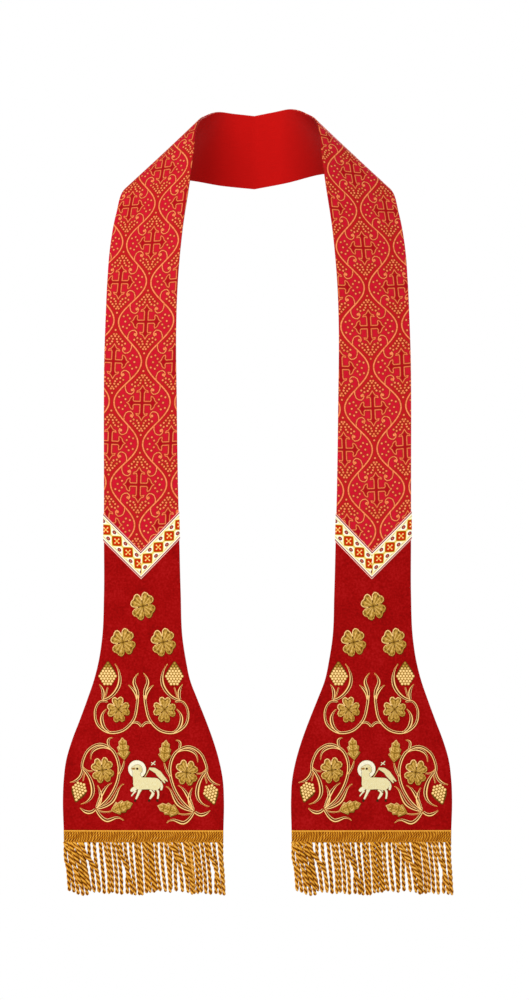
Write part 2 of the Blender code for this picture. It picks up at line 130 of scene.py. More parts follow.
Section = namedtuple("Section", "run inner outer")
SECTIONS = (
    Section(0, (0, 100, 108.5), (0, 123, -2.5)),
    Section(41, (29, 94, 112.5), (50, 116, 4.5)),
    Section(87, (54, 76, 115), (103, 95, 14.5)),
    Section(139, (75, 47, 107), (156, 56, 13)),
    Section(196, (91, 5, 90), (201, 0, -10)),
    Section(249, (96.5, -27, 46), (214, -22, -50)),
    Section(304, (103.5, -50, -8), (222, -41, -97)),
    Section(365, (112.5, -66, -70), (226, -58, -150)),
    Section(426, (119, -80, -140), (228, -72, -200)),
    Section(504, (122, -92, -225), (230, -88, -268)),
    Section(592, (121, -98, -333), (230.5, -97, -341)),
    Section(705, (119.3, -101, -450), (230.3, -99, -450)),
    Section(800, (117, -103, -545), (230.2, -100, -545)),
    Section(875, (115, -104, -620), (230.2, -100, -620)),
    Section(945, (112, -105, -690), (233.3, -99, -690)),
    Section(975, (107.3, -105.5, -720), (237.8, -98.5, -720)),
    Section(1005, (101, -106, -750), (245.2, -98, -750)),
    Section(1035, (89.5, -106.5, -780), (255.5, -97.5, -780)),
    Section(1065, (77.5, -107, -810), (266.5, -97.5, -810)),
    Section(1095, (66.5, -107, -840), (278, -98, -840)),
    Section(1125, (57.6, -107, -870), (286.8, -99, -870)),
    Section(1155, (51.8, -107, -900), (290.6, -100, -900)),
    Section(1185, (50.2, -106.5, -930), (291.8, -101, -930)),
    Section(HEM_RUN, (51, -106, -976), (290.5, -102, -976)),
    Section(1350, (52, -105, -1095), (289.5, -104, -1095)),
)
RUNS = [row.run for row in SECTIONS]

# Brocade: an ogee lattice with a cross in each cell. Places are in mm from the cell's centre, in
# one quarter of it. Its columns drift outwards below the chest.
BROCADE_LEVELS = {-1: 649.05, 1: 666.0}
BROCADE_COLUMN = 45.5
BROCADE_DRIFT = 0.052
DRIFT_STARTS = -209.0
DRIFT_EASE = 80.0
OGEE_MIDDLE = 0.25
OGEE_SWING = 0.2104
# The dark inside of the cross: half width and reach of its two bars, then for the heads on them
# the place of their widest part, their slope and how far they go
UPRIGHT_BAR = (2.9, 17.0)
LEVEL_BAR = (2.3, 13.0)
TOP_HEAD = (18.0, 1.05, 7.6)
SIDE_HEAD = (14.5, 1.1, 8.6)
CROSS_OUTLINE = (
    (23, 0), (20.5, 1.5), (19, 3.5), (18, 6.5), (16, 9), (13.5, 10), (13, 7.5), (13.5, 4.5),
    (12, 2.5), (3, 2.5), (3, 14.5), (4, 17), (8.5, 16), (7.5, 18.5), (4.5, 19.5), (2.5, 22),
    (0, 26.5),
)
CURL = (
    (26, 27), (26, 21.5), (24, 16), (20.5, 13.5), (16.5, 13), (13.5, 15.5), (12.5, 19), (14, 22),
)
CURL_EYE = (15.5, 19.5)
EYE_RADIUS = 2.1
DOT_RADIUS = 1.5
DOTS = (
    (28.5, 10), (34.5, 8), (25, 5), (31.5, 0), (11.5, 25), (16, 27.5), (6.5, 26.5), (11.5, 31),
    (4, 30), (8.5, 34.5), (3, 34), (5.5, 38), (0, 38.5), (2, 41.5), (0, 48),
)

# Galloon: where the squares start on its left and right arms, how far it goes past the cloth's
# edges, its height over the cloth, how much higher its middle is, and how its right arm rises over
# its left one at the fold
GALLOON_STARTS = {-1: 3.4, 1: 14.2}
GALLOON_REACH = 1.018
GALLOON_GAP = 0.15
GALLOON_CROWN = 0.25
FOLD_RISE = 0.6
FOLD_LENGTH = 30.0

# Header of the fringe: how far its back, face and front lie over the cloth, how far it laps over
# the hem and clears the panel there, its stitches' pitch, and the shares of its height where its
# top cord ends and its foot cord starts. Grids are columns and rows.
HEADER_BACK = 0.2
HEADER_FACE = 2.0
HEADER_FRONT = 2.6
HEADER_LAP = 1.2
HEADER_TUCK = 0.15
HEADER_STITCH = 3.8
TOP_CORD = 0.12
FOOT_CORD = 0.88
HEADER_GRID = (440, 24)

# Strands of the fringe: how far their roots go up into the header, the step along their paths,
# how far one level hangs in front of the next, the depth by which they have come out to it, and
# the level that hangs straight down
STRAND_OVERLAP = 1.4
STRAND_STEP = 1.45
LEVEL_STEP = 2.2
LEVEL_FULL = 22.0
BACK_LEVEL = 0.7
# Round a strand: its sides, the steps over which its end is rounded, and how thick it is between
# its plies, as a share of its whole thickness
STRAND_SIDES = 12
STRAND_END = 3
PLY_GROOVE = 0.42
# Each strand's level, and its path in mm along the hem as seen from the front and down from the
# header
Strand = namedtuple("Strand", "level path")
STRANDS = (
    Strand(0, ((2.5, 1), (2.5, 25), (6, 43), (8.5, 76))),
    Strand(0, ((7.5, 1), (10, 37), (15.5, 78))),
    Strand(1, ((12.5, 1), (16, 37), (22, 81))),
    Strand(0, ((17.5, 1), (23, 40), (29, 83))),
    Strand(1, ((23, 1), (29, 40), (35.5, 82))),
    Strand(0, ((28.5, 1), (32.5, 37), (40, 76))),
    Strand(2, ((1, 1), (2.5, 4), (14, 31), (26.5, 70))),
    Strand(3, ((7.5, 1), (22, 34), (35, 75))),
    Strand(2, ((15.5, 1), (29, 31), (39, 72))),
    Strand(3, ((24.5, 1), (34, 22), (45, 36), (51, 52), (54, 75))),
    Strand(0, ((37.5, 1), (38.5, 25), (42, 43), (46, 78))),
    Strand(1, ((45.5, 1), (47, 22), (50, 46), (53.5, 78))),
    Strand(0, ((54.5, 1), (56.5, 25), (59, 52), (61, 80))),
    Strand(1, ((61, 1), (64.5, 25), (67.5, 52), (68, 80))),
    Strand(0, ((67, 1), (69.5, 25), (72.5, 52), (73, 78))),
    Strand(0, ((73.5, 1), (76.5, 25), (79, 52), (80, 80))),
    Strand(1, ((79, 1), (83, 25), (86, 52), (87, 81))),
    Strand(2, ((84.5, 1), (88, 24), (94, 40), (99.5, 58), (102.5, 81))),
    Strand(0, ((91.5, 1), (93.5, 22), (96.5, 40), (95, 58), (95.5, 80))),
    Strand(1, ((100, 1), (101.5, 25), (104.5, 52), (107.5, 82))),
    Strand(0, ((107.5, 1), (109.5, 25), (111.5, 52), (114, 82))),
    Strand(1, ((113, 1), (114.5, 25), (116.5, 52), (118, 82))),
    Strand(0, ((119.5, 1), (121.5, 25), (123.5, 52), (124.5, 79))),
    Strand(1, ((122, 1), (124.5, 28), (127.5, 52), (130, 78))),
    Strand(0, ((127, 1), (129.5, 25), (132.5, 52), (136, 78))),
    Strand(1, ((132, 1), (133.5, 25), (135.5, 49), (139.5, 75))),
    Strand(0, ((138.5, 1), (139.5, 25), (141.5, 49), (145, 76))),
    Strand(0, ((146.5, 1), (147.5, 25), (149.5, 49), (153, 77))),
    Strand(1, ((152.5, 1), (155.5, 25), (158.5, 52), (160, 78))),
    Strand(0, ((159, 1), (160.5, 25), (160, 52), (161.5, 73))),
    Strand(0, ((166, 1), (167.5, 28), (167.5, 52), (169, 76))),
    Strand(1, ((168, 1), (169, 7), (173, 31), (176.5, 55), (178.5, 77))),
    Strand(2, ((173.5, 1), (178, 25), (184, 52), (187, 78))),
    Strand(1, ((181, 1), (185, 25), (189.5, 52), (193, 81))),
    Strand(3, ((156.5, 1), (165, 13), (176, 28), (187, 46), (195.5, 70))),
    Strand(0, ((186, 1), (190, 25), (194, 52), (195, 78))),
    Strand(0, ((190, 1), (192, 25), (194, 46), (196, 80))),
    Strand(0, ((195, 1), (198.5, 25), (200.5, 52), (201.5, 80))),
    Strand(1, ((200, 1), (203, 25), (206, 52), (206.5, 78))),
    Strand(0, ((206.5, 1), (209.5, 25), (212, 52), (213.5, 80))),
    Strand(1, ((212.5, 1), (216, 25), (219, 52), (220.5, 81))),
    Strand(2, ((217.5, 1), (221.5, 24), (227.5, 40), (232.5, 58), (235.5, 81))),
    Strand(0, ((225, 1), (227, 22), (229.5, 40), (228.5, 58), (228.5, 80))),
    Strand(1, ((233, 1), (235, 25), (237.5, 52), (241, 82))),
    Strand(0, ((237, 1), (237, 25), (239, 52), (240, 75))),
)

# Embroidery, in mm out from the design's axis and over the hem
UPPER_AXIS = -1.5
LOWER_AXIS = 2.5
RIGHT_SPRAY_DROP = 3.5
LAMB_SHIFT = Vector((2.5, 0))

# Twisted cord round the motifs: its pitch, the side from which light is painted on it, how much
# lighter that painted light makes it there and how much painted shade darkens it all round, and how
# far off the dark cord under it lies, which is its painted shadow
CORD_PITCH = 1.9
LIT_FROM = Vector((-0.6, 0.8))
LIT_SHARE = 0.22
LIT_LESS = 0.06
SHADOW = Vector((0.45, -0.75))

# A flower's turn is the angle of its first petal. It is longer than it is wide.
Flower = namedtuple("Flower", "name across height turn radius cleft")
UPPER_FLOWERS = (
    Flower("top", 0.9, 337.1, 58, 18.4, 0.95),
    Flower("low_left", -28.8, 282.8, 58, 18.4, 0.95),
    Flower("low_right", 31.6, 283, 58, 18.4, 0.95),
)
SCROLL_FLOWER = Flower("scroll", 34.6, 182, 4, 16.7, 0.86)
SPRAY_FLOWER = Flower("spray", 63, 91.2, 53, 17, 0.9)
FLOWER_STRETCH = Vector((0.95, 1.08))
# A petal from notch to notch: angles from its middle and shares of the radius
PETAL = (
    (-43, 0.44), (-39.5, 0.66), (-34.5, 0.88), (-26, 1.03), (-13, 1.03), (0, 1.0), (13, 1.03),
    (26, 1.03), (34.5, 0.88), (39.5, 0.66), (43, 0.44),
)
# Where the stitches of a petal start, as a share of its length, and the rows of faces in it
PETAL_START = 0.05
PETAL_ROWS = 14

# Lighter and darker stitches inside the flowers and leaves
STITCHES = (0.3, -0.26, 0.04, 0.22, -0.34, 0.12, -0.1)

# Half of a leaf's width along it, with three pointed lobes, as shares of its length and width
LEAF_EDGE = (
    (0, 0), (0.05, 0.26), (0.30, 1.0), (0.36, 0.70), (0.58, 0.94), (0.64, 0.58), (0.83, 0.60),
    (0.88, 0.34), (1.0, 0),
)
Leaf = namedtuple("Leaf", "name base tip half_width")
UPPER_LEAF = Leaf("upper", (29.5, 106), (33, 139.5), 9.2)
LOWER_LEAF = Leaf("lower", (51.5, 30.5), (19, 41.5), 9.4)
LEAF_GRID = (12, 30)

# Half of a bunch of grapes from its stalk to its tip, as shares of its length and half width
BUNCH_EDGE = (
    (0, 0.45), (0.14, 0.82), (0.3, 0.98), (0.45, 1.0), (0.62, 0.78), (0.82, 0.42), (1.0, 0.08),
)
Bunch = namedtuple("Bunch", "name base tip half_width")
SCROLL_BUNCH = Bunch("scroll", (50, 218.5), (50, 256.5), 14.2)
SPRAY_BUNCH = Bunch("spray", (95.5, 72), (104.5, 41), 12.6)
# From grape to grape and from row to row, in a grape's radii
GRAPE_GAP = 1.86
GRAPE_ROW = 1.6

# Stems and blades: widths at the start, the middle and the end. Dark is the side that its dark
# core of painted shade lies on: 1 is left of the way it grows.
Stem = namedtuple("Stem", "dark start middle end points")
SCROLL_STEMS = (
    Stem(-1, 2.9, 4.0, 3.9, (
        (50, 193), (63, 193), (70, 178), (66, 159), (49, 147.5), (28, 150.5), (12, 166.5),
        (6.5, 187), (5.5, 204))),
    Stem(1, 3.9, 5.0, 1.4, ((6, 196), (6, 209), (10.5, 224), (3, 237))),
    Stem(1, 3.5, 4.2, 1.4, ((6.5, 197), (10, 209), (19.5, 219))),
    Stem(1, 3.3, 5.3, 1.4, ((59, 196), (44, 203), (33.5, 218), (32.5, 235), (40, 251))),
    Stem(-1, 3.3, 4.4, 1.4, ((58.5, 196), (57, 209), (63, 220))),
    Stem(1, 1.9, 2.2, 1.9, ((55, 199), (52, 208), (50, 216))),
    Stem(-1, 1.7, 5.4, 2.9, ((52, 183), (60, 171), (57, 156), (45, 146))),
    Stem(-1, 2.9, 3.3, 3.3, ((17, 160), (8, 162.5), (0, 155.5))),
)
SPRAY_STEMS = (
    Stem(1, 3.9, 4.2, 3.5, (
        (74, 33), (55, 49), (42, 73), (38.5, 98), (47, 120), (66, 129.5), (83.5, 121), (92, 104),
        (92.5, 91))),
    Stem(-1, 3.3, 3.9, 1.4, ((93, 93), (99, 79), (113, 72.5))),
    Stem(-1, 3.3, 5.7, 1.4, ((92.5, 93), (82, 77), (78.5, 59), (84, 46.5), (97, 40))),
    Stem(1, 1.9, 1.9, 1.9, ((89.5, 88.5), (93, 74))),
    Stem(1, 2.2, 2.2, 2.2, ((93, 97), (86, 90.5), (77, 90))),
    Stem(1, 2.9, 4.2, 1.4, ((47, 120.5), (63, 125.5), (76.5, 119.5), (80, 106))),
    Stem(1, 3.1, 3.7, 1.4, ((52, 125), (54, 136), (46.5, 139.5))),
    Stem(1, 2.9, 3.1, 1.9, ((39, 84), (33, 95), (30, 106))),
    Stem(-1, 3.9, 4.8, 1.4, ((73.5, 34), (66, 50), (71.5, 69))),
    Stem(1, 3.9, 5.0, 1.4, ((74, 33), (85, 27.5), (98, 35))),
    Stem(-1, 3.5, 5.0, 1.4, ((72.5, 35), (61, 61), (49, 72))),
    Stem(-1, 3.5, 5.0, 1.4, ((73, 33.5), (50, 43), (38, 65), (31, 69.5))),
    Stem(1, 2.2, 2.2, 1.9, ((72.5, 31.5), (61, 28.5), (49, 30))),
    Stem(-1, 3.5, 5.1, 1.4, ((73.5, 32.5), (59, 16), (42, 20), (32, 15))),
)

# Gold thread covers this share of those widths. A narrow stem is light all over, and shows its
# whole dark core of painted shade only from this half width on.
STEM_SHARE = 0.96
FINE_TONE = 0.72
FULL_HALF = 1.7
# Round a stem: shares out from its middle, shares of its height, and tones. A stem's tones are
# painted light and shade: highlights on its crests, shade in its low core, and a dark edge on the
# cloth at one side as its painted shadow.
Ring = namedtuple("Ring", "out up tone")
STEM_RINGS = (
    Ring(-1.24, 0.0, 0.5), Ring(-1.12, 0.5, 0.95), Ring(-0.98, 0.85, 1.15), Ring(-0.83, 0.8, 0.9),
    Ring(-0.72, 0.62, -0.15), Ring(0.1, 0.64, -0.15), Ring(0.22, 0.9, 0.8), Ring(0.36, 1.0, 1.1),
    Ring(0.62, 0.98, 1.05), Ring(0.84, 0.85, 0.7), Ring(1.04, 0.42, 0.3), Ring(1.22, 0.0, 0.0),
    Ring(0.4, -0.1, 0.0), Ring(-0.4, -0.1, 0.0),
)
WOOL_RINGS = (
    Ring(-1.3, 0.0, 0.0), Ring(-1.0, 0.5, 0.5), Ring(-0.72, 0.86, 0.95), Ring(-0.25, 1.0, 0.88),
    Ring(0.3, 1.0, 0.88), Ring(0.72, 0.86, 0.95), Ring(1.0, 0.5, 0.5), Ring(1.3, 0.0, 0.0),
    Ring(0.4, -0.1, 0.0), Ring(-0.4, -0.1, 0.0),
)
LINE_RINGS, SHADED_RINGS = (
    tuple(ring._replace(tone=ring.tone * share) for ring in WOOL_RINGS) for share in (0.24, 0.62)
)

# The lamb, across from its own middle and over the hem
HALO_CENTRE = (-11, 92.5)
HALO_RADIUS = 13.4
# Round-ended shapes, from one circle to another, that are joined or laid over each other
Shape = namedtuple("Shape", "start start_radius end end_radius")
LAMB_BODY = (
    Shape((-8.5, 71.3), 9.2, (8, 71.4), 8.6),
    Shape((6, 71.4), 8.6, (15.2, 70.4), 9.2),
    Shape((-10.5, 75.5), 7.0, (-12.9, 86), 5.0),
    Shape((-10.2, 92.4), 7.0, (-17.5, 93.3), 2.4),
    Shape((-12.9, 86), 5.0, (-11.5, 92), 6.0),
)
LAMB_BANNER = (
    Shape((8, 93.6), 1.6, (15, 91.4), 3.3),
    Shape((15, 91.4), 3.3, (22, 86.5), 3.5),
    Shape((21.5, 87), 3.4, (33.8, 74.5), 0.9),
    Shape((20.5, 85.5), 3.4, (30, 72.2), 0.9),
)
LAMB_EAR = (Shape((-7, 93.6), 2.3, (-5.2, 89.6), 1.5),)
LAMB_MUZZLE = (Shape((-18.4, 93.3), 1.2, (-15, 93.4), 1.6),)
LAMB_EYE = (-10.8, 93.3)
LAMB_LIMBS = (
    Stem(1, 5.6, 3.0, 2.6, ((17, 66), (20, 57), (19, 47.5))),
    Stem(1, 3.8, 2.2, 1.6, ((-13.5, 61), (-17, 56.5), (-21, 51.5))),
    Stem(1, 7.0, 6.2, 3.8, ((-12.5, 65), (-18, 62), (-21.5, 59))),
    Stem(1, 7.4, 4.4, 2.6, ((9, 64), (12.3, 57), (7, 47.5))),
    Stem(1, 6.6, 3.6, 2.6, ((-6.5, 65), (-9.8, 56), (-14, 47))),
    Stem(1, 3.4, 4.4, 2.8, ((22.5, 75), (25, 67), (24, 60.5))),
)
LAMB_LINES = (
    ((-16, 69), (-13, 66.5), (-10.5, 63)),
    ((5, 63), (10, 62), (15, 56.5)),
    ((20.5, 66), (20, 63), (21, 60)),
    ((-9, 86), (-8.5, 82), (-5.5, 79.5)),
)
LAMB_HOOVES = ((-15, 45.5), (6, 45.5), (18.5, 45.5))
HOOF_RADIUS = 1.7
EYE_SPOT_RADIUS = 1.7
LAMB_STAFF = ((-0.5, 79.5), (7.6, 93.4))
LAMB_CROSS = (((10, 103), (17, 99)), ((17, 105), (10, 98)))
LAMB_STRIPE = ((9, 95.3), (14.2, 92.4))
WOOL_CURLS = tuple(
    ((x, y), (x + 2.4, y + bend), (x + 4.8, y))
    for x in range(-14, 22, 6) for y, bend in ((67.5, -2.2), (74.5, 2.2))
)
# Padded parts of the lamb: where each starts and how high it is, as shares of the thread's rise,
# how wide its rounded rim is, tones from its edge inwards, and the thickness of its edge cord
Patch = namedtuple("Patch", "outline low rim height tones edge", defaults=(0.0,))
# Threads over those parts: width, and height as a share of the thread's rise
Thread = namedtuple("Thread", "points width rings height")
LAMB_THREADS = (
    *(Thread(points, 1.0, SHADED_RINGS, 1.14) for points in WOOL_CURLS),
    *(Thread(points, 1.5, LINE_RINGS, 1.3) for points in LAMB_LINES),
    Thread(LAMB_STRIPE, 1.5, SHADED_RINGS, 1.0),
    Thread(LAMB_STAFF, 1.6, SHADED_RINGS, 0.9),
    *(Thread(points, 1.5, WOOL_RINGS, 0.9) for points in LAMB_CROSS),
)

# The stage, in metres: each light's place, size and share of the power of the main one
FLOOR_HALF = 1.6
LIGHT_TARGET = Vector((0, 0, -0.45))
CAMERA_AIM = (0.0105, -0.098, -0.48)
Light = namedtuple("Light", "name place size share")
LIGHTS = (
    Light("Key light", Vector((-1.6, -3.4, 0.9)), 2.2, 1.0),
    Light("Back light", Vector((1.2, 3.2, 1.2)), 2.0, 0.5),
)


# ---------------------------------------------------------------- settings


class StoleClothSettings(PropertyGroup):
    """Sizes and colours of the cloth."""

    repeat_across: FloatProperty(
        name="Repeat across", description="Distance between crosses in a row of the brocade",
        default=0.091, min=0.02, unit="LENGTH")
    repeat_along: FloatProperty(
        name="Repeat along", description="Distance between crosses in a column of the brocade",
        default=0.1227, min=0.02, unit="LENGTH")
    lattice_line: FloatProperty(
        name="Lattice line", description="Width of the curved lines between the crosses",
        default=0.0021, min=0.0002, unit="LENGTH")
    figure_line: FloatProperty(
        name="Figure line", description="Width of the lines that draw the crosses and curls",
        default=0.0015, min=0.0002, unit="LENGTH")
    ground: FloatVectorProperty(
        name="Brocade ground", description="Crimson of the brocade", subtype="COLOR",
        default=(0.575, 0.008, 0.024), min=0, max=1)
    ground_shade: FloatVectorProperty(
        name="Brocade shade", description="Browner red round the dots", subtype="COLOR",
        default=(0.50, 0.009, 0.013), min=0, max=1)
    ground_dark: FloatVectorProperty(
        name="Brocade dark", description="Dark red inside the crosses", subtype="COLOR",
        default=(0.39, 0.002, 0.008), min=0, max=1)
    figure: FloatVectorProperty(
        name="Brocade figure", description="Orange gold of the woven lines", subtype="COLOR",
        default=(0.94, 0.26, 0.10), min=0, max=1)
    panel: FloatVectorProperty(
        name="Panel cloth", description="Deep red of the lower panels", subtype="COLOR",
        default=(0.305, 0.0026, 0.0026), min=0, max=1)
    lining: FloatVectorProperty(
        name="Lining", description="Red of the satin", subtype="COLOR",
        default=(0.53, 0.0068, 0.0058), min=0, max=1)


class StoleGalloonSettings(PropertyGroup):
    """Sizes and colours of the galloon."""

    width: FloatProperty(
        name="Width", description="Width of the ribbon", default=0.0298, min=0.01, unit="LENGTH")
    repeat: FloatProperty(
        name="Repeat", description="Distance between squares along the ribbon", default=0.0236,
        min=0.01, unit="LENGTH")
    square: FloatProperty(
        name="Square", description="Half of a square's diagonal", default=0.0093, min=0.002,
        unit="LENGTH")
    ground: FloatVectorProperty(
        name="Ground", description="Cream of the ribbon", subtype="COLOR",
        default=(0.93, 0.83, 0.42), min=0, max=1)
    figure: FloatVectorProperty(
        name="Squares", description="Orange red of the squares", subtype="COLOR",
        default=(0.54, 0.020, 0.0), min=0, max=1)


class StoleFringeSettings(PropertyGroup):
    """Sizes and colours of the fringe."""

    header: FloatProperty(
        name="Header", description="Height of the woven band over the strands", default=0.017,
        min=0.005, unit="LENGTH")
    thickness: FloatProperty(
        name="Strand thickness", description="Width of a strand across its two plies",
        default=0.0062, min=0.001, unit="LENGTH")
    twist: FloatProperty(
        name="Twist", description="Length of one turn of a strand", default=0.0177, min=0.003,
        unit="LENGTH")
    seed: IntProperty(name="Seed", description="Start of the random unevenness", default=7)
    # Light thread colours the painted highlights on top of the plies, and dark thread the painted
    # shade between them.
    light: FloatVectorProperty(
        name="Light thread", description="Gold on top of the plies", subtype="COLOR",
        default=(0.85, 0.405, 0.035), min=0, max=1)
    dark: FloatVectorProperty(
        name="Dark thread", description="Brown between the plies", subtype="COLOR",
        default=(0.095, 0.008, 0.0), min=0, max=1)


class StoleThreadSettings(PropertyGroup):
    """Sizes and colours of the embroidery."""

    rise: FloatProperty(
        name="Rise", description="How far the padded stitches stand over the panel",
        default=0.0016, min=0.0002, unit="LENGTH")
    edge: FloatProperty(
        name="Edge cord", description="Thickness of the cord round petals and leaves",
        default=0.0017, min=0.0003, unit="LENGTH")
    bead: FloatProperty(
        name="Grape", description="Radius of one grape", default=0.0025, min=0.0005, unit="LENGTH")
    # The golds that the tone reads: the light gold colours painted highlights, and the dark gold
    # painted shade in grooves and painted shadows.
    light: FloatVectorProperty(
        name="Light gold", description="Brightest gold thread", subtype="COLOR",
        default=(1.0, 0.66, 0.27), min=0, max=1)
    middle: FloatVectorProperty(
        name="Middle gold", description="Gold thread in half light", subtype="COLOR",
        default=(0.39, 0.205, 0.02), min=0, max=1)
    dark: FloatVectorProperty(
        name="Dark gold", description="Thread in the grooves", subtype="COLOR",
        default=(0.065, 0.019, 0.0), min=0, max=1)
    wool: FloatVectorProperty(
        name="Wool", description="Cream of the lamb", subtype="COLOR",
        default=(0.78, 0.70, 0.38), min=0, max=1)


class StoleStageSettings(PropertyGroup):
    """Floor, lights and camera."""

    floor_level: FloatProperty(
        name="Floor level", description="Height of the floor", default=-1.5, unit="LENGTH")
    floor_colour: FloatVectorProperty(
        name="Floor colour", description="Pale grey of the floor", subtype="COLOR",
        default=(0.82, 0.82, 0.82), min=0, max=1)
    fill: FloatProperty(
        name="Fill light", description="Strength of the even light from all round", default=0.72,
        min=0)
    key: FloatProperty(
        name="Key light", description="Power of the large soft light", default=85.0, min=0,
        unit="POWER")
    distance: FloatProperty(
        name="Camera distance", description="Distance of the camera from the stole", default=9.0,
        min=1, unit="LENGTH")
    lens: FloatProperty(
        name="Lens", description="Focal length of the camera in millimetres", default=216.0, min=10)


# ---------------------------------------------------------------- the cloth's surface


def slope(values, k):
    """The rate of change at row k of a table, from the rows beside it."""
    low, high = max(k - 1, 0), min(k + 1, len(RUNS) - 1)
    if low == k or high == k:
        return (values[high] - values[low]) / (RUNS[high] - RUNS[low])
    before, after = RUNS[k] - RUNS[low], RUNS[high] - RUNS[k]
    rise_before = (values[k] - values[low]) / before
    rise_after = (values[high] - values[k]) / after
    return (rise_before * after + rise_after * before) / (before + after)


@functools.lru_cache(maxsize=None)
def edge_point(edge, run):
    """Reads a smooth curve through one edge of the sections."""
    k = min(max(bisect_right(RUNS, run) - 1, 0), len(RUNS) - 2)
    span = RUNS[k + 1] - RUNS[k]
    t = (run - RUNS[k]) / span
    values = [Vector(getattr(row, edge)) for row in SECTIONS]
    a, b = values[k], values[k + 1]
    out, into = slope(values, k) * span, slope(values, k + 1) * span
    return (
        a * (2 * t**3 - 3 * t**2 + 1)
        + out * (t**3 - 2 * t**2 + t)
        + b * (3 * t**2 - 2 * t**3)
        + into * (t**3 - t**2)
    )


def ease(low, high, value):
    """Rises smoothly from 0 at low to 1 at high."""
    t = min(max((value - low) / (high - low), 0.0), 1.0)
    return t * t * (3 - 2 * t)


@functools.lru_cache(maxsize=None)
def half_width(run):
    """Half of the cloth's width at a run."""
    return (edge_point("outer", run) - edge_point("inner", run)).length / 2


def cloth_point(run, across):
    """A point on the right half of the cloth."""
    inner, outer = edge_point("inner", run), edge_point("outer", run)
    point = inner.lerp(outer, (across + 1) / 2)
    bow = BOW_SHARE * 2 * half_width(run) * ease(BOW_STARTS, BOW_FULL, run)
    point.y -= bow * (1 - across * across)
    return point


def on_cloth(side, run, across, height):
    """A point at a height over either half of the cloth, in metres."""
    run = round(run, 3)
    point = cloth_point(run, across)
    along = cloth_point(run + 0.5, across) - cloth_point(run - 0.5, across)
    over = cloth_point(run, across + 0.01) - cloth_point(run, across - 0.01)
    point += along.cross(over).normalized() * height
    point.x = side * max(point.x, 0.0)
    behind = ease(0, BACK_DEPTH, point.y)
    point.z += BACK_TILT * point.x * behind
    point.x += BACK_SHIFT * behind
    return point * MM


def on_panel(side, across, over_hem, height):
    """A point over the lower panel, placed in mm from its middle line and over its hem."""
    run = HEM_RUN - over_hem
    return on_cloth(side, run, side * across / half_width(round(run, 1)), height)


def seam_run(side, level, across, bend):
    """Bends level rows into the V of the seam, within a distance of it."""
    drop = SEAM_POINT * (1 - abs(across + side * SEAM_TIP))
    return level + drop * max(0.0, 1 - abs(level - SEAM_RUN) / bend)


@functools.lru_cache(maxsize=None)
def travelled(side, across):
    """Lengths of cloth from the centre back, at every step of the run."""
    lengths, last = [0.0], on_cloth(side, 0, across, 0)
    for k in range(1, math.ceil(HEM_RUN / TRAVEL_STEP) + 1):
        spot = on_cloth(side, k * TRAVEL_STEP, across, 0)
        lengths.append(lengths[-1] + (spot - last).length / MM)
        last = spot
    return lengths


def length_to(side, run, across):
    """The length of cloth from the centre back, at a share across."""
    lengths = travelled(side, round(across, 4))
    k = min(int(run / TRAVEL_STEP), len(lengths) - 2)
    return lengths[k] + (lengths[k + 1] - lengths[k]) * (run / TRAVEL_STEP - k)


def flat_place(side, run, across):
    """Where a place on the cloth lies once the cloth is flat: across its middle line and along."""
    lean = (length_to(side, run, 1) - length_to(side, run, -1)) / 2
    wide = math.sqrt(max(half_width(round(run, 3)) ** 2 - lean * lean, 1.0))
    return across * wide, length_to(side, run, across)


# ---------------------------------------------------------------- modelling


def new_mesh():
    """An empty mesh with the two layers that materials read."""
    bm = bmesh.new()
    bm.verts.layers.float.new(TONE)
    bm.loops.layers.uv.new(FLAT_MAP)
    return bm


def mapped_grid(bm, columns, rows, place):
    """Adds a grid. Place turns shares across and along it into a point, a UV place and a tone."""
    made = bmesh.ops.create_grid(bm, x_segments=columns, y_segments=rows, size=1)["verts"]
    tone, flat = bm.verts.layers.float[TONE], bm.loops.layers.uv[FLAT_MAP]
    for vert in made:
        point, uv, shade = place((vert.co.x + 1) / 2, (vert.co.y + 1) / 2)
        vert.co = point
        vert[tone] = shade
        for loop in vert.link_loops:
            loop[flat].uv = uv


def close_up(bm):
    """Welds rolled grids along their seams and poles, and fills what is left open."""
    bmesh.ops.remove_doubles(bm, verts=bm.verts, dist=WELD)
    bmesh.ops.holes_fill(bm, edges=[edge for edge in bm.edges if edge.is_boundary], sides=0)
    bmesh.ops.recalc_face_normals(bm, faces=bm.faces)


def smooth_path(points, step, closed=False, arched=False):
    """Points about a step apart on a smooth curve through the given ones."""
    ends = [Vector(p) for p in points]
    if closed:
        ends = [ends[-1], *ends, ends[0], ends[1]]
    elif arched and len(ends) > 2:
        ends = [ends[0] * 3 - ends[1] * 3 + ends[2], *ends, ends[-1] * 3 - ends[-2] * 3 + ends[-3]]
    else:
        ends = [ends[0] * 2 - ends[1], *ends, ends[-1] * 2 - ends[-2]]
    path = []
    for a, b, c, d in zip(ends, ends[1:], ends[2:], ends[3:]):
        pieces = max(1, round((c - b).length / step))
        for k in range(pieces):
            t = k / pieces
            bend = (2 * a - 5 * b + 4 * c - d) * t**2 + (3 * b - a - 3 * c + d) * t**3
            path.append((2 * b + (c - a) * t + bend) / 2)
    return path if closed else path + [ends[-2]]


def heading(path, k, closed=False):
    """The direction of a path at point k."""
    count = len(path)
    if closed:
        return (path[(k + 1) % count] - path[(k - 1) % count]).normalized()
    return (path[min(k + 1, count - 1)] - path[max(k - 1, 0)]).normalized()


def lengths_along(path):
    """How far along a path each of its points lies."""
    return [0.0, *accumulate((b - a).length for a, b in zip(path, path[1:]))]


def left_of(direction):
    """The flat direction a quarter turn to the left of another."""
    return Vector((-direction.y, direction.x))


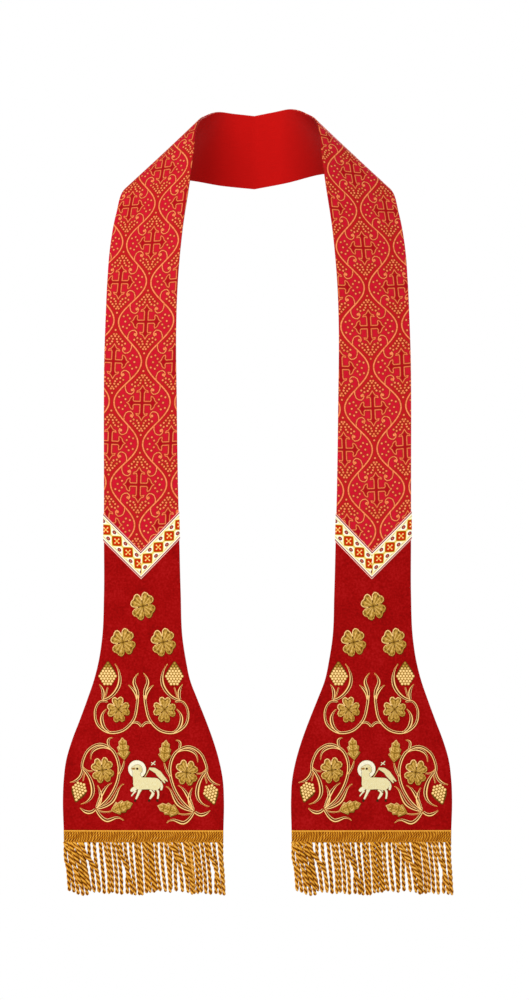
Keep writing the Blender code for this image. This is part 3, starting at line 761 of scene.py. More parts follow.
def stitched_stem(bm, side, path, width_at, rings, dark, rise, lift=0.0, fade=0.0):
    """A padded stem on the panel, along a flat path. Dark says which side the first ring is on,
    and fade how far a narrow end turns light. Both ends are blunt, and narrow stems are lower."""
    count, lengths = len(path) - 1, lengths_along(path)
    total = lengths[-1]

    def place(around, along):
        k = round(along * count)
        ring = rings[round(around * len(rings)) % len(rings)]
        off = left_of(heading(path, k)) * -dark
        blunt = math.sqrt(max(min(1.0, lengths[k], total - lengths[k]), 0.0)) if total > 3 else 1.0
        half = width_at(lengths[k] / total) / 2 * blunt
        spot = path[k] + off * ring.out * half
        height = WALL + lift + rise * ring.up * blunt * min(1.0, 0.45 + half / 2.4)
        uv = (lengths[k] + 0.7 * half * ring.out, half * ring.out)
        tone = ring.tone + (FINE_TONE - ring.tone) * fade * (1 - min(1.0, half / FULL_HALF))
        return on_panel(side, spot.x, spot.y, height), uv, tone

    mapped_grid(bm, len(rings), count, place)


def swelling(start, middle, end):
    """A width that changes smoothly from start to middle to end."""

    def width_at(share):
        if share < 0.5:
            return start + (middle - start) * ease(0, 0.5, share)
        return middle + (end - middle) * ease(0.5, 1, share)

    return width_at


def edge_cord(bm, side, path, radius, height, tones, closed=True, sides=6, middle=None):
    """A cord laid on the panel along a flat outline. Its tone is a painted highlight on its top,
    with painted shade at its foot and between its turns. Round a middle it has more painted light
    at its upper left and painted shade at its lower right."""
    count = len(path) if closed else len(path) - 1
    step = (path[0] - path[1]).length
    dark, light = tones

    def place(around, along):
        k = round(along * count) % len(path)
        angle = math.tau * around
        turn = math.cos(math.tau * k * step / CORD_PITCH + angle)
        reach = radius * (1 + 0.12 * turn)
        spot = path[k] + left_of(heading(path, k, closed)) * reach * math.cos(angle)
        tone = dark + (light - dark) * (0.5 + 0.5 * math.sin(angle)) * (0.8 + 0.2 * turn)
        if middle is not None:
            tone += LIT_SHARE * (path[k] - middle).normalized().dot(LIT_FROM) - LIT_LESS
        point = on_panel(side, spot.x, spot.y, height + reach * math.sin(angle))
        return point, (k, angle), tone

    mapped_grid(bm, sides, count, place)


def shadow_cord(bm, side, path, radius, closed=True):
    """A dark cord that shows below a lighter one, as its painted shadow."""
    edge_cord(bm, side, [p + SHADOW for p in path], radius, WALL + 0.05, (0.0, 0.06), closed)


# The insets round a padded patch: each one's share of the rim, and how high the patch is inside it
RIM_STEPS = ((0.35, 0.55), (0.5, 0.85), (0.8, 1.0))


def padded_patch(bm, side, outline, low, rim, rise, tones):
    """A raised patch inside a flat outline, rounded at its edge by insets."""
    tone, flat = bm.verts.layers.float[TONE], bm.loops.layers.uv[FLAT_MAP]
    face = bm.faces.new([bm.verts.new((p.x, p.y, 0)) for p in outline])
    face.normal_update()
    if face.normal.z < 0:
        face.normal_flip()
    made, up, shade = set(face.verts), 0.0, tones[0]

    def settle(verts):
        for vert in verts:
            vert[tone], vert.co.z = shade, up
            made.add(vert)

    for (step, next_up), next_shade in zip(RIM_STEPS, tones[1:]):
        rings = bmesh.ops.inset_region(bm, faces=[face], thickness=step * rim, use_even_offset=True)
        settle({vert for ring in rings["faces"] for vert in ring.verts} - set(face.verts))
        up, shade = next_up, next_shade
        settle(face.verts)
    bmesh.ops.triangulate(bm, faces=[face])
    for vert in made:
        for loop in vert.link_loops:
            loop[flat].uv = (vert.co.x, vert.co.y)
    for vert in made:
        vert.co = on_panel(side, vert.co.x, vert.co.y, low + rise * vert.co.z)


def rounded(shape, corners=26):
    """The counter-clockwise outline of a round-ended shape."""
    start, end = Vector(shape.start), Vector(shape.end)
    ahead = math.atan2(end.y - start.y, end.x - start.x)
    lean = math.acos((shape.start_radius - shape.end_radius) / (end - start).length)
    outline = []
    for centre, radius, low, high in (
        (start, shape.start_radius, lean, math.tau - lean), (end, shape.end_radius, -lean, lean)
    ):
        for k in range(corners + 1):
            angle = ahead + low + (high - low) * k / corners
            outline.append(centre + Vector((math.cos(angle), math.sin(angle))) * radius)
    return outline


def joined(shapes, step=1.1):
    """One even, softened outline round several shapes that overlap."""
    spots, faces = [], []
    for outline in map(rounded, shapes):
        faces.append(range(len(spots), len(spots) + len(outline)))
        spots += outline
    spots, _, cells, *_ = delaunay_2d_cdt(spots, [], faces, 1, 1e-4)
    pairs = {(a, b) for cell in cells for a, b in zip(cell, (*cell[1:], cell[0]))}
    after = {a: b for a, b in pairs if (b, a) not in pairs}
    first = min(after, key=lambda k: spots[k].x)
    line, k = [spots[first]], after[first]
    while k != first:
        line.append(spots[k])
        k = after[k]
    line.append(line[0])
    lengths = lengths_along(line)
    count, even = round(lengths[-1] / step), []
    for k in range(count):
        reach = lengths[-1] * k / count
        j = bisect_right(lengths, reach) - 1
        even.append(line[j].lerp(line[j + 1], (reach - lengths[j]) / (lengths[j + 1] - lengths[j])))
    for _ in range(2):
        even = [(even[k - 1] + even[k] * 2 + even[(k + 1) % count]) / 4 for k in range(count)]
    return even


def disc(centre, radius, corners=40):
    """The outline of a circle."""
    x, y = centre
    angles = (math.tau * k / corners for k in range(corners))
    return [Vector((x + radius * math.cos(a), y + radius * math.sin(a))) for a in angles]


def finish_piece(context, name, bm, slot, nodes, wall=0.0, finish=None):
    """Makes the object, gives it its material, hangs it from the root body and hides the parts of
    the model that it stands for. A sheet gets a wall and turned edges, and anything else is closed
    up."""
    if not wall:
        close_up(bm)
    for face in bm.faces:
        face.smooth = True
    if not bm.faces:
        raise RuntimeError(f"{name} has no faces")
    mesh = bpy.data.meshes.new(name)
    bm.to_mesh(mesh)
    bm.free()
    mesh.materials.append(finish_named(finish or slot))
    piece = bpy.data.objects.new(name, mesh)
    context.scene.collection.objects.link(piece)
    if wall:
        shell = piece.modifiers.new("Thickness", "SOLIDIFY")
        shell.thickness = wall * MM
        shell.offset = -1
        shell.use_even_offset = True
        turned = piece.modifiers.new("Turned edge", "BEVEL")
        turned.width = min(wall / 3, 0.5) * MM
        turned.segments = 2
        turned.limit_method = "ANGLE"
        turned.angle_limit = math.radians(50)
    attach(piece, "root")
    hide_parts(*nodes)
    return piece


def seamed_sheet(side, start, end, bend, grid, uv_at):
    """A sheet over one half of the cloth, from one run to another. One end follows the V seam."""
    bm = new_mesh()

    def place(across_share, along_share):
        across = across_share * 2 - 1
        run = seam_run(side, start + (end - start) * along_share, across, bend)
        return on_cloth(side, run, across, WALL), uv_at(side, run, across), 0.5

    mapped_grid(bm, *grid, place)
    if side > 0:
        bmesh.ops.reverse_faces(bm, faces=bm.faces)
    return bm


# ---------------------------------------------------------------- materials

Layer = namedtuple("Layer", "term limit blur colour strength", defaults=(1.0,))


class Term:
    """A number that a material's nodes work out."""

    def __init__(self, recipe, socket):
        self.recipe = recipe
        self.socket = socket

    def __add__(self, other):
        return self.recipe.calc("ADD", self, other)

    def __sub__(self, other):
        return self.recipe.calc("SUBTRACT", self, other)

    def __rsub__(self, other):
        return self.recipe.calc("SUBTRACT", other, self)

    def __mul__(self, other):
        return self.recipe.calc("MULTIPLY", self, other)

    def __truediv__(self, other):
        return self.recipe.calc("DIVIDE", self, other)

    def __pow__(self, other):
        return self.recipe.calc("POWER", self, other)

    def __abs__(self):
        return self.recipe.calc("ABSOLUTE", self)


class Recipe:
    """Builds the nodes of one material."""

    def __init__(self, name, **sockets):
        self.material = bpy.data.materials.new(name)
        self.material.use_nodes = True
        self.tree = self.material.node_tree
        self.shader = self.tree.nodes["Principled BSDF"]
        for key, value in sockets.items():
            self.shader.inputs[key.replace("_", " ")].default_value = value

    def put(self, value, socket):
        """Links a term or a socket to an input, or sets a plain value on it."""
        if isinstance(value, Term):
            value = value.socket
        if isinstance(value, bpy.types.NodeSocket):
            self.tree.links.new(value, socket)
        else:
            socket.default_value = value

    def node(self, kind, inputs=(), **settings):
        node = self.tree.nodes.new(kind)
        for key, value in settings.items():
            setattr(node, key, value)
        for place, value in dict(inputs).items():
            self.put(value, node.inputs[place])
        return node

    def calc(self, operation, *values, clamp=False):
        node = self.node("ShaderNodeMath", enumerate(values), operation=operation, use_clamp=clamp)
        return Term(self, node.outputs[0])

    def vector(self, operation, *values, output=0):
        node = self.node("ShaderNodeVectorMath", enumerate(values), operation=operation)
        return node.outputs[output]

    def least(self, *terms):
        return functools.reduce(lambda a, b: self.calc("MINIMUM", a, b), terms)

    def most(self, *terms):
        return functools.reduce(lambda a, b: self.calc("MAXIMUM", a, b), terms)

    def stripes(self, term, pitch):
        """Even waves between -1 and 1, a pitch apart."""
        return self.calc("SINE", term * (math.tau / pitch))

    def below(self, term, limit, blur=0.5):
        """1 where a term is below a limit and 0 above it, with a soft step."""
        return self.calc("MULTIPLY_ADD", term, -1 / blur, limit / blur + 0.5, clamp=True)

    def uv_place(self):
        """The two terms of the UV place."""
        socket = self.node("ShaderNodeUVMap", uv_map=FLAT_MAP).outputs[0]
        apart = self.node("ShaderNodeSeparateXYZ", {0: socket})
        return Term(self, apart.outputs[0]), Term(self, apart.outputs[1])

    def as_vector(self, x, y):
        return self.node("ShaderNodeCombineXYZ", {0: x, 1: y}).outputs[0]

    def tone(self):
        return Term(self, self.node("ShaderNodeAttribute", attribute_name=TONE).outputs["Fac"])

    def noise(self, place, scale, detail=2.0):
        node = self.node("ShaderNodeTexNoise", {"Vector": place, "Scale": scale, "Detail": detail})
        return Term(self, node.outputs[0])

    def object_place(self):
        return self.node("ShaderNodeTexCoord").outputs["Object"]

    def mixed(self, share, first, second):
        """A colour between two others."""
        node = self.node("ShaderNodeMix", data_type="RGBA")
        for place, value in ((0, share), (6, first), (7, second)):
            if isinstance(value, (tuple, list)) or hasattr(value, "r"):
                value = (*value[:3], 1.0)
            self.put(value, node.inputs[place])
        return node.outputs[2]

    def layered(self, colour, *layers):
        """A colour with others over it, each where its term is below its limit."""
        for layer in layers:
            share = self.below(layer.term, layer.limit, layer.blur) * layer.strength
            colour = self.mixed(share, colour, layer.colour)
        return colour

    def ramp(self, term, stops):
        """A colour read from stops of (place, colour)."""
        node = self.node("ShaderNodeValToRGB", {0: term})
        elements = node.color_ramp.elements
        while len(elements) < len(stops):
            elements.new(0.5)
        for element, (place, colour) in zip(elements, stops):
            element.position = place
            element.color = (*colour[:3], 1.0)
        return node.outputs[0]

    def polyline(self, place, points):
        """The distance to a line through points."""
        nearest = []
        for a, b in zip(points, points[1:]):
            run = Vector((b[0] - a[0], b[1] - a[1], 0))
            offset = self.vector("SUBTRACT", place, (a[0], a[1], 0))
            dot = Term(self, self.vector("DOT_PRODUCT", offset, tuple(run), output=1))
            share = self.calc("MULTIPLY", dot, 1 / run.length_squared, clamp=True)
            node = self.node("ShaderNodeVectorMath", {0: tuple(run), 3: share}, operation="SCALE")
            gap = self.vector("DISTANCE", offset, node.outputs[0], output=1)
            nearest.append(Term(self, gap))
        return self.least(*nearest)

    def dots(self, place, points):
        """The distance to the nearest of some points."""
        gaps = [self.vector("DISTANCE", place, (*p, 0), output=1) for p in points]
        return self.least(*(Term(self, gap) for gap in gaps))

    def finish(self, colour, height=None, distance=0.0002, strength=0.6, roughness=None):
        self.put(colour, self.shader.inputs["Base Color"])
        if roughness is not None:
            self.put(roughness, self.shader.inputs["Roughness"])
        if height is not None:
            bump = self.node(
                "ShaderNodeBump", {"Height": height, "Strength": strength, "Distance": distance})
            self.tree.links.new(bump.outputs[0], self.shader.inputs["Normal"])
        return self.material


def ogee_cell(recipe, x, y, wide, tall):
    """How far a place is from the ogee line, and where it lies in one quarter of its own cell."""
    fold_x = recipe.calc("PINGPONG", x, wide / 2)
    fold_y = recipe.calc("PINGPONG", y, tall / 2)
    angle = fold_y * (math.tau / tall)
    edge = recipe.calc("COSINE", angle) * (OGEE_SWING * wide) + OGEE_MIDDLE * wide
    lean = recipe.calc("SINE", angle) * (OGEE_SWING * wide * math.tau / tall)
    off_line = (fold_x - edge) / recipe.calc("SQRT", lean * lean + 1.0)
    other = recipe.calc("GREATER_THAN", off_line, 0.0)
    cell_x = fold_x + other * (wide / 2 - fold_x * 2.0)
    cell_y = fold_y + other * (tall / 2 - fold_y * 2.0)
    return off_line, cell_x, cell_y


def cross_inside(recipe, x, y):
    """1 inside the cross of a cell: two bars, and a pointed head on the end of each."""
    bars, heads = [], []
    for (half, reach), out, along in ((UPRIGHT_BAR, x, y), (LEVEL_BAR, y, x)):
        bars.append(recipe.below(out, half) * recipe.below(along, reach))
    for (widest, slant, reach), out, along in ((TOP_HEAD, x, y), (SIDE_HEAD, y, x)):
        heads.append(recipe.below(out + abs(along - widest) * slant, reach))
    above_bar = recipe.below(UPRIGHT_BAR[1] - y, 0.0)
    return recipe.most(*bars, heads[0] * above_bar, heads[1])


def brocade_finish(settings):
    """Orange gold on crimson: an ogee lattice, with a cross, curls and dots in each cell."""
    recipe = Recipe("brocade", Specular_IOR_Level=0.02)
    x, y = recipe.uv_place()
    off_line, cell_x, cell_y = ogee_cell(
        recipe, x, y, settings.repeat_across / MM, settings.repeat_along / MM)
    place = recipe.as_vector(cell_x, cell_y)

    lattice, fine = settings.lattice_line / MM, settings.figure_line / MM
    line = abs(off_line) - lattice / 2
    outline = recipe.polyline(place, CROSS_OUTLINE) - fine / 2
    curl = recipe.polyline(place, CURL) - fine / 2
    eye = recipe.dots(place, (CURL_EYE,)) - EYE_RADIUS
    dots = recipe.dots(place, DOTS) - DOT_RADIUS
    figure = recipe.least(line, outline, curl, eye, dots)
    drawn = recipe.below(figure, 0.0)

    cloth = recipe.object_place()
    cloud = recipe.calc("MULTIPLY_ADD", recipe.noise(cloth, 180.0, 3.0), 1.6, -0.6, clamp=True)
    around_cross = recipe.below(cell_y - cell_x * 0.55, 21.0, 9.0)
    ground = recipe.mixed(around_cross, settings.ground_shade, settings.ground)
    ground = recipe.mixed(cross_inside(recipe, cell_x, cell_y) * 0.95, ground, settings.ground_dark)
    ground = recipe.mixed(cloud * 0.5, ground, settings.ground_dark)
    # A brown band round the woven lines is painted shadow.
    brown = (0.24, 0.020, 0.003)
    ground = recipe.layered(ground, Layer(figure, 0.9, 0.7, brown, 0.85))

    fleck = recipe.noise(cloth, 420.0, 2.0)
    dull_gold, copper = (0.70, 0.14, 0.035), (0.72, 0.10, 0.035)
    gold = recipe.ramp(fleck, ((0.3, dull_gold), (0.6, settings.figure)))
    gold = recipe.layered(gold, Layer(outline, 0.0, 0.5, copper, 0.45))

    ribs, twill = recipe.stripes(y, 0.9) * 0.35, recipe.stripes(x + y, 0.8) * 0.35
    height = drawn * 1.6 + ribs * drawn + twill * (1.0 - drawn) + fleck * 0.6
    colour, roughness = recipe.mixed(drawn, ground, gold), 0.5 - drawn * 0.08
    return recipe.finish(colour, height, 0.00018, 0.55, roughness)


def panel_finish(settings):
    """Matt red wool, faintly mottled."""
    recipe = Recipe("panel_cloth", Roughness=0.92, Specular_IOR_Level=0.02)
    cloth = recipe.object_place()
    cloud, nap = recipe.noise(cloth, 34.0, 2.0), recipe.noise(cloth, 330.0, 3.0)
    base = Vector(settings.panel)
    worn = (base.x * 1.26, base.y * 2.8, base.z * 3.2)
    colour = recipe.ramp(cloud * 0.35 + nap * 0.65, ((0.3, base * 0.7), (0.5, base), (0.72, worn)))
    return recipe.finish(colour, nap + cloud, 0.0002, 0.35)


def satin_finish(settings):
    """Smooth red satin, with fine threads along the cloth. It is darker at both sides of the neck,
    where it turns from the light."""
    recipe = Recipe("lining_satin", Roughness=0.42, Specular_IOR_Level=0.30)
    recipe.put((*settings.lining, 1.0), recipe.shader.inputs["Specular Tint"])
    x, y = recipe.uv_place()
    threads = recipe.noise(recipe.as_vector(x * 2.6, y * 0.05), 1.0, 1.0)
    base = Vector(settings.lining)
    dark = tuple(base * 0.5)
    colour = recipe.ramp(threads, ((0.3, base * 0.93), (0.7, base * 1.06)))
    at_neck = recipe.below(abs(y), 240, 160)
    colour = recipe.mixed(recipe.below(y, -78, 60) * at_neck * 0.5, colour, dark)
    colour = recipe.mixed(recipe.below(y * -1, -83, 84) * at_neck, colour, dark)
    return recipe.finish(colour, recipe.stripes(x, 0.5) * 0.4 + threads, 0.00006, 0.4)


def galloon_finish(settings):
    """A cream ribbon with pink edges, orange squares and maroon seeds between olive waves."""
    recipe = Recipe("galloon_weave", Roughness=0.7, Specular_IOR_Level=0.03)
    u, v = recipe.uv_place()
    repeat, square, half = settings.repeat / MM, settings.square / MM, settings.width / MM / 2
    along, across = recipe.calc("PINGPONG", u, repeat / 2), abs(v)
    from_seed = along - repeat / 2
    seed = recipe.calc("SQRT", (from_seed / 1.38) ** 2.0 + (across - 6.5) ** 2.0)
    link = across + abs(from_seed) * 0.45
    wave = abs(across - (recipe.calc("COSINE", u * (math.tau / repeat)) * 0.7 + 9.6))
    bulge = 1.12
    diamond = ((along / 1.1) ** bulge + across**bulge) ** (1 / bulge) - square * 0.93
    place = recipe.as_vector(along, across)
    floret = recipe.polyline(place, ((2.6, 0), (0, 0), (0, 2.6)))
    dots = recipe.dots(place, ((4.0, 0), (0, 4.0)))

    white, maroon, olive = (0.97, 0.90, 0.74), (0.17, 0.006, 0.012), (0.30, 0.23, 0.03)
    pale, brass, rose = (0.96, 0.90, 0.62), (0.62, 0.45, 0.06), (0.58, 0.13, 0.08)
    yellow, brown, pink = (0.90, 0.62, 0.08), (0.30, 0.10, 0.0), (0.98, 0.50, 0.42)
    gold, light_gold, straw = (0.92, 0.58, 0.12), (0.95, 0.66, 0.24), (0.86, 0.68, 0.22)
    weave = recipe.noise(recipe.as_vector(u * 3.0, v), 1.0, 2.0)
    colour = recipe.layered(
        recipe.mixed(weave, settings.ground, pale),
        Layer(seed, 4.0, 0.8, white),
        Layer(link, 1.7, 1.2, brass, 0.8),
        Layer(wave, 0.4, 0.3, olive, 0.75),
        Layer(seed, 2.45, 0.4, maroon),
        Layer(seed, 1.25, 0.5, rose),
        Layer(diamond, 1.5, 0.5, yellow),
        Layer(diamond, 0.6, 0.4, brown),
        Layer(diamond, -0.9, 0.5, settings.figure),
        Layer(floret, 0.55, 0.4, gold),
        Layer(dots, 1.05, 0.4, light_gold),
    )
    for inset, shade in ((5.0, straw), (4.0, white), (2.5, maroon), (1.15, pink)):
        colour = recipe.layered(colour, Layer(half - inset - across, 0.0, 0.25, shade))
    ribs = recipe.stripes(u, 0.8) + recipe.stripes(v, 0.7)
    return recipe.finish(colour, ribs * 0.35 + weave, 0.00015, 0.5)


def thread_finish(name, stops, streak, roughness):
    """Embroidery thread, as light or dark as its tone, which holds painted light and shade as well
    as the thread's own colour. Its strands run across the UV map's u.
    """
    recipe = Recipe(name, Roughness=roughness, Specular_IOR_Level=0.07)
    u, v = recipe.uv_place()
    strands = recipe.stripes(u, 0.8)
    uneven = recipe.noise(recipe.as_vector(u * 0.9, v * 0.22), 1.0, 2.0) - 0.5
    colour = recipe.ramp(recipe.tone() + uneven * streak + strands * 0.05, stops)
    return recipe.finish(colour, strands * 0.6 + uneven, 0.00018, 0.6)


def fringe_finish(settings):
    """Bullion thread, with painted shade between its plies and a painted highlight on top of them.
    """
    shade, painted_shine = (0.42, 0.135, 0.0), (0.92, 0.50, 0.12)
    stops = ((0.05, settings.dark), (0.42, shade), (0.92, settings.light), (1.0, painted_shine))
    return thread_finish("fringe_thread", stops, 0.35, 0.45)


def gold_finish(settings):
    """Pale gold thread of the flowers, leaves and grapes."""
    dark, middle, half_light = settings.dark, settings.middle, (0.61, 0.355, 0.07)
    stops = ((0.0, dark), (0.5, middle), (0.74, half_light), (1.0, settings.light))
    return thread_finish("gold_thread", stops, 0.5, 0.4)


def stem_finish(_):
    """Redder gold thread of the stems, with a brown core of painted shade. Its darkest stop also
    colours the painted shadow beside a stem, and its shine is a painted highlight.
    """
    core, brown, copper = (0.13, 0.018, 0.0), (0.36, 0.055, 0.0), (0.60, 0.18, 0.008)
    gold, painted_shine = (1.0, 0.47, 0.11), (1.0, 0.74, 0.32)
    stops = ((0.0, core), (0.25, brown), (0.5, copper), (0.8, gold), (1.0, painted_shine))
    return thread_finish("stem_thread", stops, 0.35, 0.4)


def wool_finish(settings):
    """Cream thread of the lamb, brown where it is dark."""
    black, brown, tan = (0.04, 0.014, 0.002), (0.21, 0.065, 0.012), (0.50, 0.29, 0.07)
    straw, cream, white = (0.72, 0.56, 0.24), settings.wool, (0.92, 0.88, 0.70)
    stops = ((0.0, black), (0.22, brown), (0.42, tan), (0.6, straw), (0.8, cream), (1.0, white))
    return thread_finish("wool_thread", stops, 0.42, 0.7)


# Each slot's finish and the settings that it reads. Stems have their own finish in the same slot.
FINISHES = {
    "brocade": (brocade_finish, "stole_cloth"),
    "panel_cloth": (panel_finish, "stole_cloth"),
    "lining": (satin_finish, "stole_cloth"),
    "galloon": (galloon_finish, "stole_galloon"),
    "gold_fringe": (fringe_finish, "stole_fringe"),
    "gold_thread": (gold_finish, "stole_thread"),
    "stem_thread": (stem_finish, "stole_thread"),
    "cream_thread": (wool_finish, "stole_thread"),
}


@functools.lru_cache(maxsize=None)
def finish_named(name):
    """Each material is made once, when the first piece needs it."""
    make, group = FINISHES[name]
    return make(getattr(bpy.context.scene, group))


# ---------------------------------------------------------------- cloth pieces


def brocade_place(side, run, across):
    """Where the brocade's pattern lies, so that a cross falls on (0, 0)."""
    u, v = flat_place(side, run, across)
    v -= BROCADE_LEVELS[side]
    low = v - DRIFT_STARTS
    drift = BROCADE_DRIFT * (DRIFT_STARTS + (low + math.hypot(low, DRIFT_EASE)) / 2)
    return u - drift - BROCADE_COLUMN, v


class STOLE_OT_bands(Operator):
    """Lay the two brocade bands over the shoulders"""

    bl_idname = "stole.bands"
    bl_label = "Brocade bands"

    def execute(self, context):
        for label, side in SIDES.items():
            bm = seamed_sheet(side, SEAM_GAP / 2, SEAM_RUN, BAND_BEND, BAND_GRID, brocade_place)
            piece = finish_piece(
                context, f"brocade_band_{label}", bm, "brocade", [f"band_{label}"], WALL)
        return {"FINISHED"}


class STOLE_OT_panels(Operator):
    """Hang the red panels below the V seams"""

    bl_idname = "stole.panels"
    bl_label = "Lower panels"

    def execute(self, context):
        for label, side in SIDES.items():
            bm = seamed_sheet(side, SEAM_RUN, HEM_RUN, PANEL_BEND, PANEL_GRID, flat_place)
            piece = finish_piece(
                context, f"wool_panel_{label}", bm, "panel_cloth", [f"panel_{label}"], WALL)
        return {"FINISHED"}


class STOLE_OT_lining(Operator):
    """Lay one satin lining behind the cloth, from hem to hem"""

    bl_idname = "stole.lining"
    bl_label = "Satin lining"

    def execute(self, context):
        bm = new_mesh()

        def place(across_share, along_share):
            across = across_share * 2 - 1
            run = (along_share * 2 - 1) * HEM_RUN
            side = 1.0 if run >= 0 else -1.0
            point = on_cloth(side, abs(run), across, -SEAM_GAP - LINING_WALL)
            u, v = flat_place(side, abs(run), across)
            return point, (u, side * v), 0.5

        mapped_grid(bm, *LINING_GRID, place)
        piece = finish_piece(
            context, "lining_satin", bm, "lining", ["lining_left", "lining_right"], LINING_WALL)
        return {"FINISHED"}


def add_ribbon(bm, side, hand, width):
    """One arm of the galloon, from the V's point up to an edge of the cloth. Hand is -1 for the
    arm at the neck and 1 for the outer one."""
    reach = width / math.sqrt(2)
    seen = hand * side

    def place(along_share, across_share):
        away = along_share * (1 + seen * SEAM_TIP) * GALLOON_REACH
        across = hand * away - side * SEAM_TIP
        offset = (across_share * 2 - 1) * reach
        run = SEAM_RUN + SEAM_POINT * (1 - away) + offset
        wide = half_width(round(run, 1)) * away
        u = (wide + SEAM_POINT * away - offset) / math.sqrt(2)
        v = offset / math.sqrt(2)
        fold = FOLD_RISE * max(0.0, 1 - u / FOLD_LENGTH) if seen > 0 else 0.0
        crown = GALLOON_CROWN * (1 - (v * 2 / width) ** 2)
        point = on_cloth(side, run, across, WALL + GALLOON_WALL + GALLOON_GAP + fold + crown)
        return point, (u - GALLOON_STARTS[seen], v), 0.5

    mapped_grid(bm, *RIBBON_GRID, place)


class STOLE_OT_galloons(Operator):
    """Sew a folded ribbon over each V seam"""

    bl_idname = "stole.galloons"
    bl_label = "Galloons"

    def execute(self, context):
        settings = context.scene.stole_galloon
        for label, side in SIDES.items():
            bm = new_mesh()
            for hand in HANDS.values():
                add_ribbon(bm, side, hand, settings.width / MM)
            bmesh.ops.recalc_face_normals(bm, faces=bm.faces)
            inward = [face for face in bm.faces if face.normal.y > 0]
            bmesh.ops.reverse_faces(bm, faces=inward)
            piece = finish_piece(
                context, f"galloon_ribbon_{label}", bm, "galloon", [f"galloon_{label}"],
                GALLOON_WALL)
        return {"FINISHED"}


# ---------------------------------------------------------------- fringe


def waves(turns):
    """A wave from 1 down to 0 and back in each turn."""
    return 0.5 + 0.5 * math.cos(math.tau * turns)


def header_relief(x, t):
    """Height and tone of the woven header at a place along it, t being 0 at its top. A few waves
    of unlike lengths make its stitches uneven. The tone is painted light on the crests of its cords
    and stitches and painted shade between them."""
    if t < TOP_CORD:
        bulge, twist = math.sin(math.pi * t / TOP_CORD), waves(x / 2.25 - t * 5)
        return 0.9 * bulge + 0.1 * twist, 0.62 + 0.3 * bulge + 0.1 * twist
    if t > FOOT_CORD:
        bulge, twist = math.sin(math.pi * (t - FOOT_CORD) / (1 - FOOT_CORD)), waves(x / 3 + t * 4)
        return 0.7 * bulge + 0.2 * twist, 0.1 + 0.25 * bulge + 0.35 * twist
    share = (t - TOP_CORD) / (FOOT_CORD - TOP_CORD)
    wander = 1.1 * math.sin(x / 13) + 0.7 * math.sin(x / 5.3 + 2)
    wander += 0.3 * math.sin(x / 1.7 + 7 * share)
    bow = (1.6 + 0.8 * math.sin(x / 37)) * math.sin(math.pi * share) - 1.4 * share + wander
    ridge = waves((x - bow) / HEADER_STITCH)
    nap = waves(x / 3.1 + share * 3.4 + 0.6 * math.sin(x / 7))
    worn = 0.75 + 0.25 * math.sin(x / 4.3 + 5 * share) * math.sin(x / 9.1)
    return 0.25 + 0.5 * ridge + 0.2 * nap, 0.62 * worn * ridge**1.2 + 0.5 * nap**2


def add_header(bm, side, settings):
    """The woven band that the strands hang from. Its top cord laps over the panel's hem."""
    hem, (columns, rows) = HEM_RUN + SEAM_GAP, HEADER_GRID
    foot, top = hem + settings.header / MM, HEM_RUN - HEADER_LAP
    back = ((foot, HEADER_BACK), (hem, HEADER_BACK), (hem, WALL + HEADER_TUCK))
    count = rows + 1 + len(back)

    def place(across_share, around_share):
        across = across_share * 2 - 1
        k = round(around_share * count) % count
        x = across * half_width(hem)
        if k > rows:
            run, depth = back[k - rows - 1]
            return on_cloth(side, run, across, depth), (x, run), 0.2
        relief, tone = header_relief(x * side, k / rows)
        run = top + (foot - top) * k / rows
        return on_cloth(side, run, across, HEADER_FACE + relief), (x, run), tone

    mapped_grid(bm, columns, count, place)


def add_strand(bm, side, strand, phase, shade, settings):
    """Two plies twisted round each other along a path, rounded off at the end."""
    thick, pitch = settings.thickness / MM / 2, settings.twist / MM
    path = smooth_path(strand.path, STRAND_STEP)
    first, count = path[0], len(path) - 1
    foot = HEM_RUN + SEAM_GAP + settings.header / MM - STRAND_OVERLAP
    across = side * (first.x / half_width(HEM_RUN) - 1)
    root = on_cloth(side, foot, across, (HEADER_BACK + HEADER_FRONT) / 2) / MM
    forward = LEVEL_STEP * (strand.level - BACK_LEVEL)

    def place(around_share, along_share):
        k = round(along_share * count)
        around = math.tau * around_share
        ply = abs(math.cos(around))
        end = max(0.0, (k - count + STRAND_END) / STRAND_END)
        blunt = math.sqrt(max(0.0, 1 - end * end))
        reach = thick * (PLY_GROOVE + (1 - PLY_GROOVE) * ply**0.8) * blunt
        angle = around + phase + math.tau * k * STRAND_STEP / pitch
        spot = path[k] - first - left_of(heading(path, k)) * reach * math.cos(angle)
        y = root.y - forward * ease(0, LEVEL_FULL, spot.y) + reach * math.sin(angle)
        point = Vector((root.x + spot.x, y, root.z - spot.y)) * MM
        # The tone is a painted highlight on each ply's crest and painted shade in the groove
        # between the plies, and it differs a little at random from strand to strand.
        return point, (around * 2.2 + spot.y * 0.4, spot.y), ply**1.35 + shade

    mapped_grid(bm, STRAND_SIDES, count, place)


class STOLE_OT_fringes(Operator):
    """Hang twisted fringe from both hems"""

    bl_idname = "stole.fringes"
    bl_label = "Fringe"

    def execute(self, context):
        settings = context.scene.stole_fringe
        rng = random.Random(settings.seed)
        for label, side in SIDES.items():
            bm = new_mesh()
            add_header(bm, side, settings)
            for strand in STRANDS:
                phase, shade = rng.uniform(0, math.tau), rng.uniform(-0.08, 0.06)
                add_strand(bm, side, strand, phase, shade, settings)
            finish_piece(
                context, f"twisted_fringe_{label}", bm, "gold_fringe", [f"fringe_{label}"])
        return {"FINISHED"}


# ---------------------------------------------------------------- embroidery


def design_place(axis, hand, drop=0.0):
    """Places a half design: hand is -1 for its left half and 1 for its right half."""
    return lambda out, height: Vector((axis + hand * out, height - drop))


def lower_place(hand):
    """Places half of the lower design. Its right half hangs a little lower."""
    return design_place(LOWER_AXIS, hand, RIGHT_SPRAY_DROP if hand > 0 else 0)


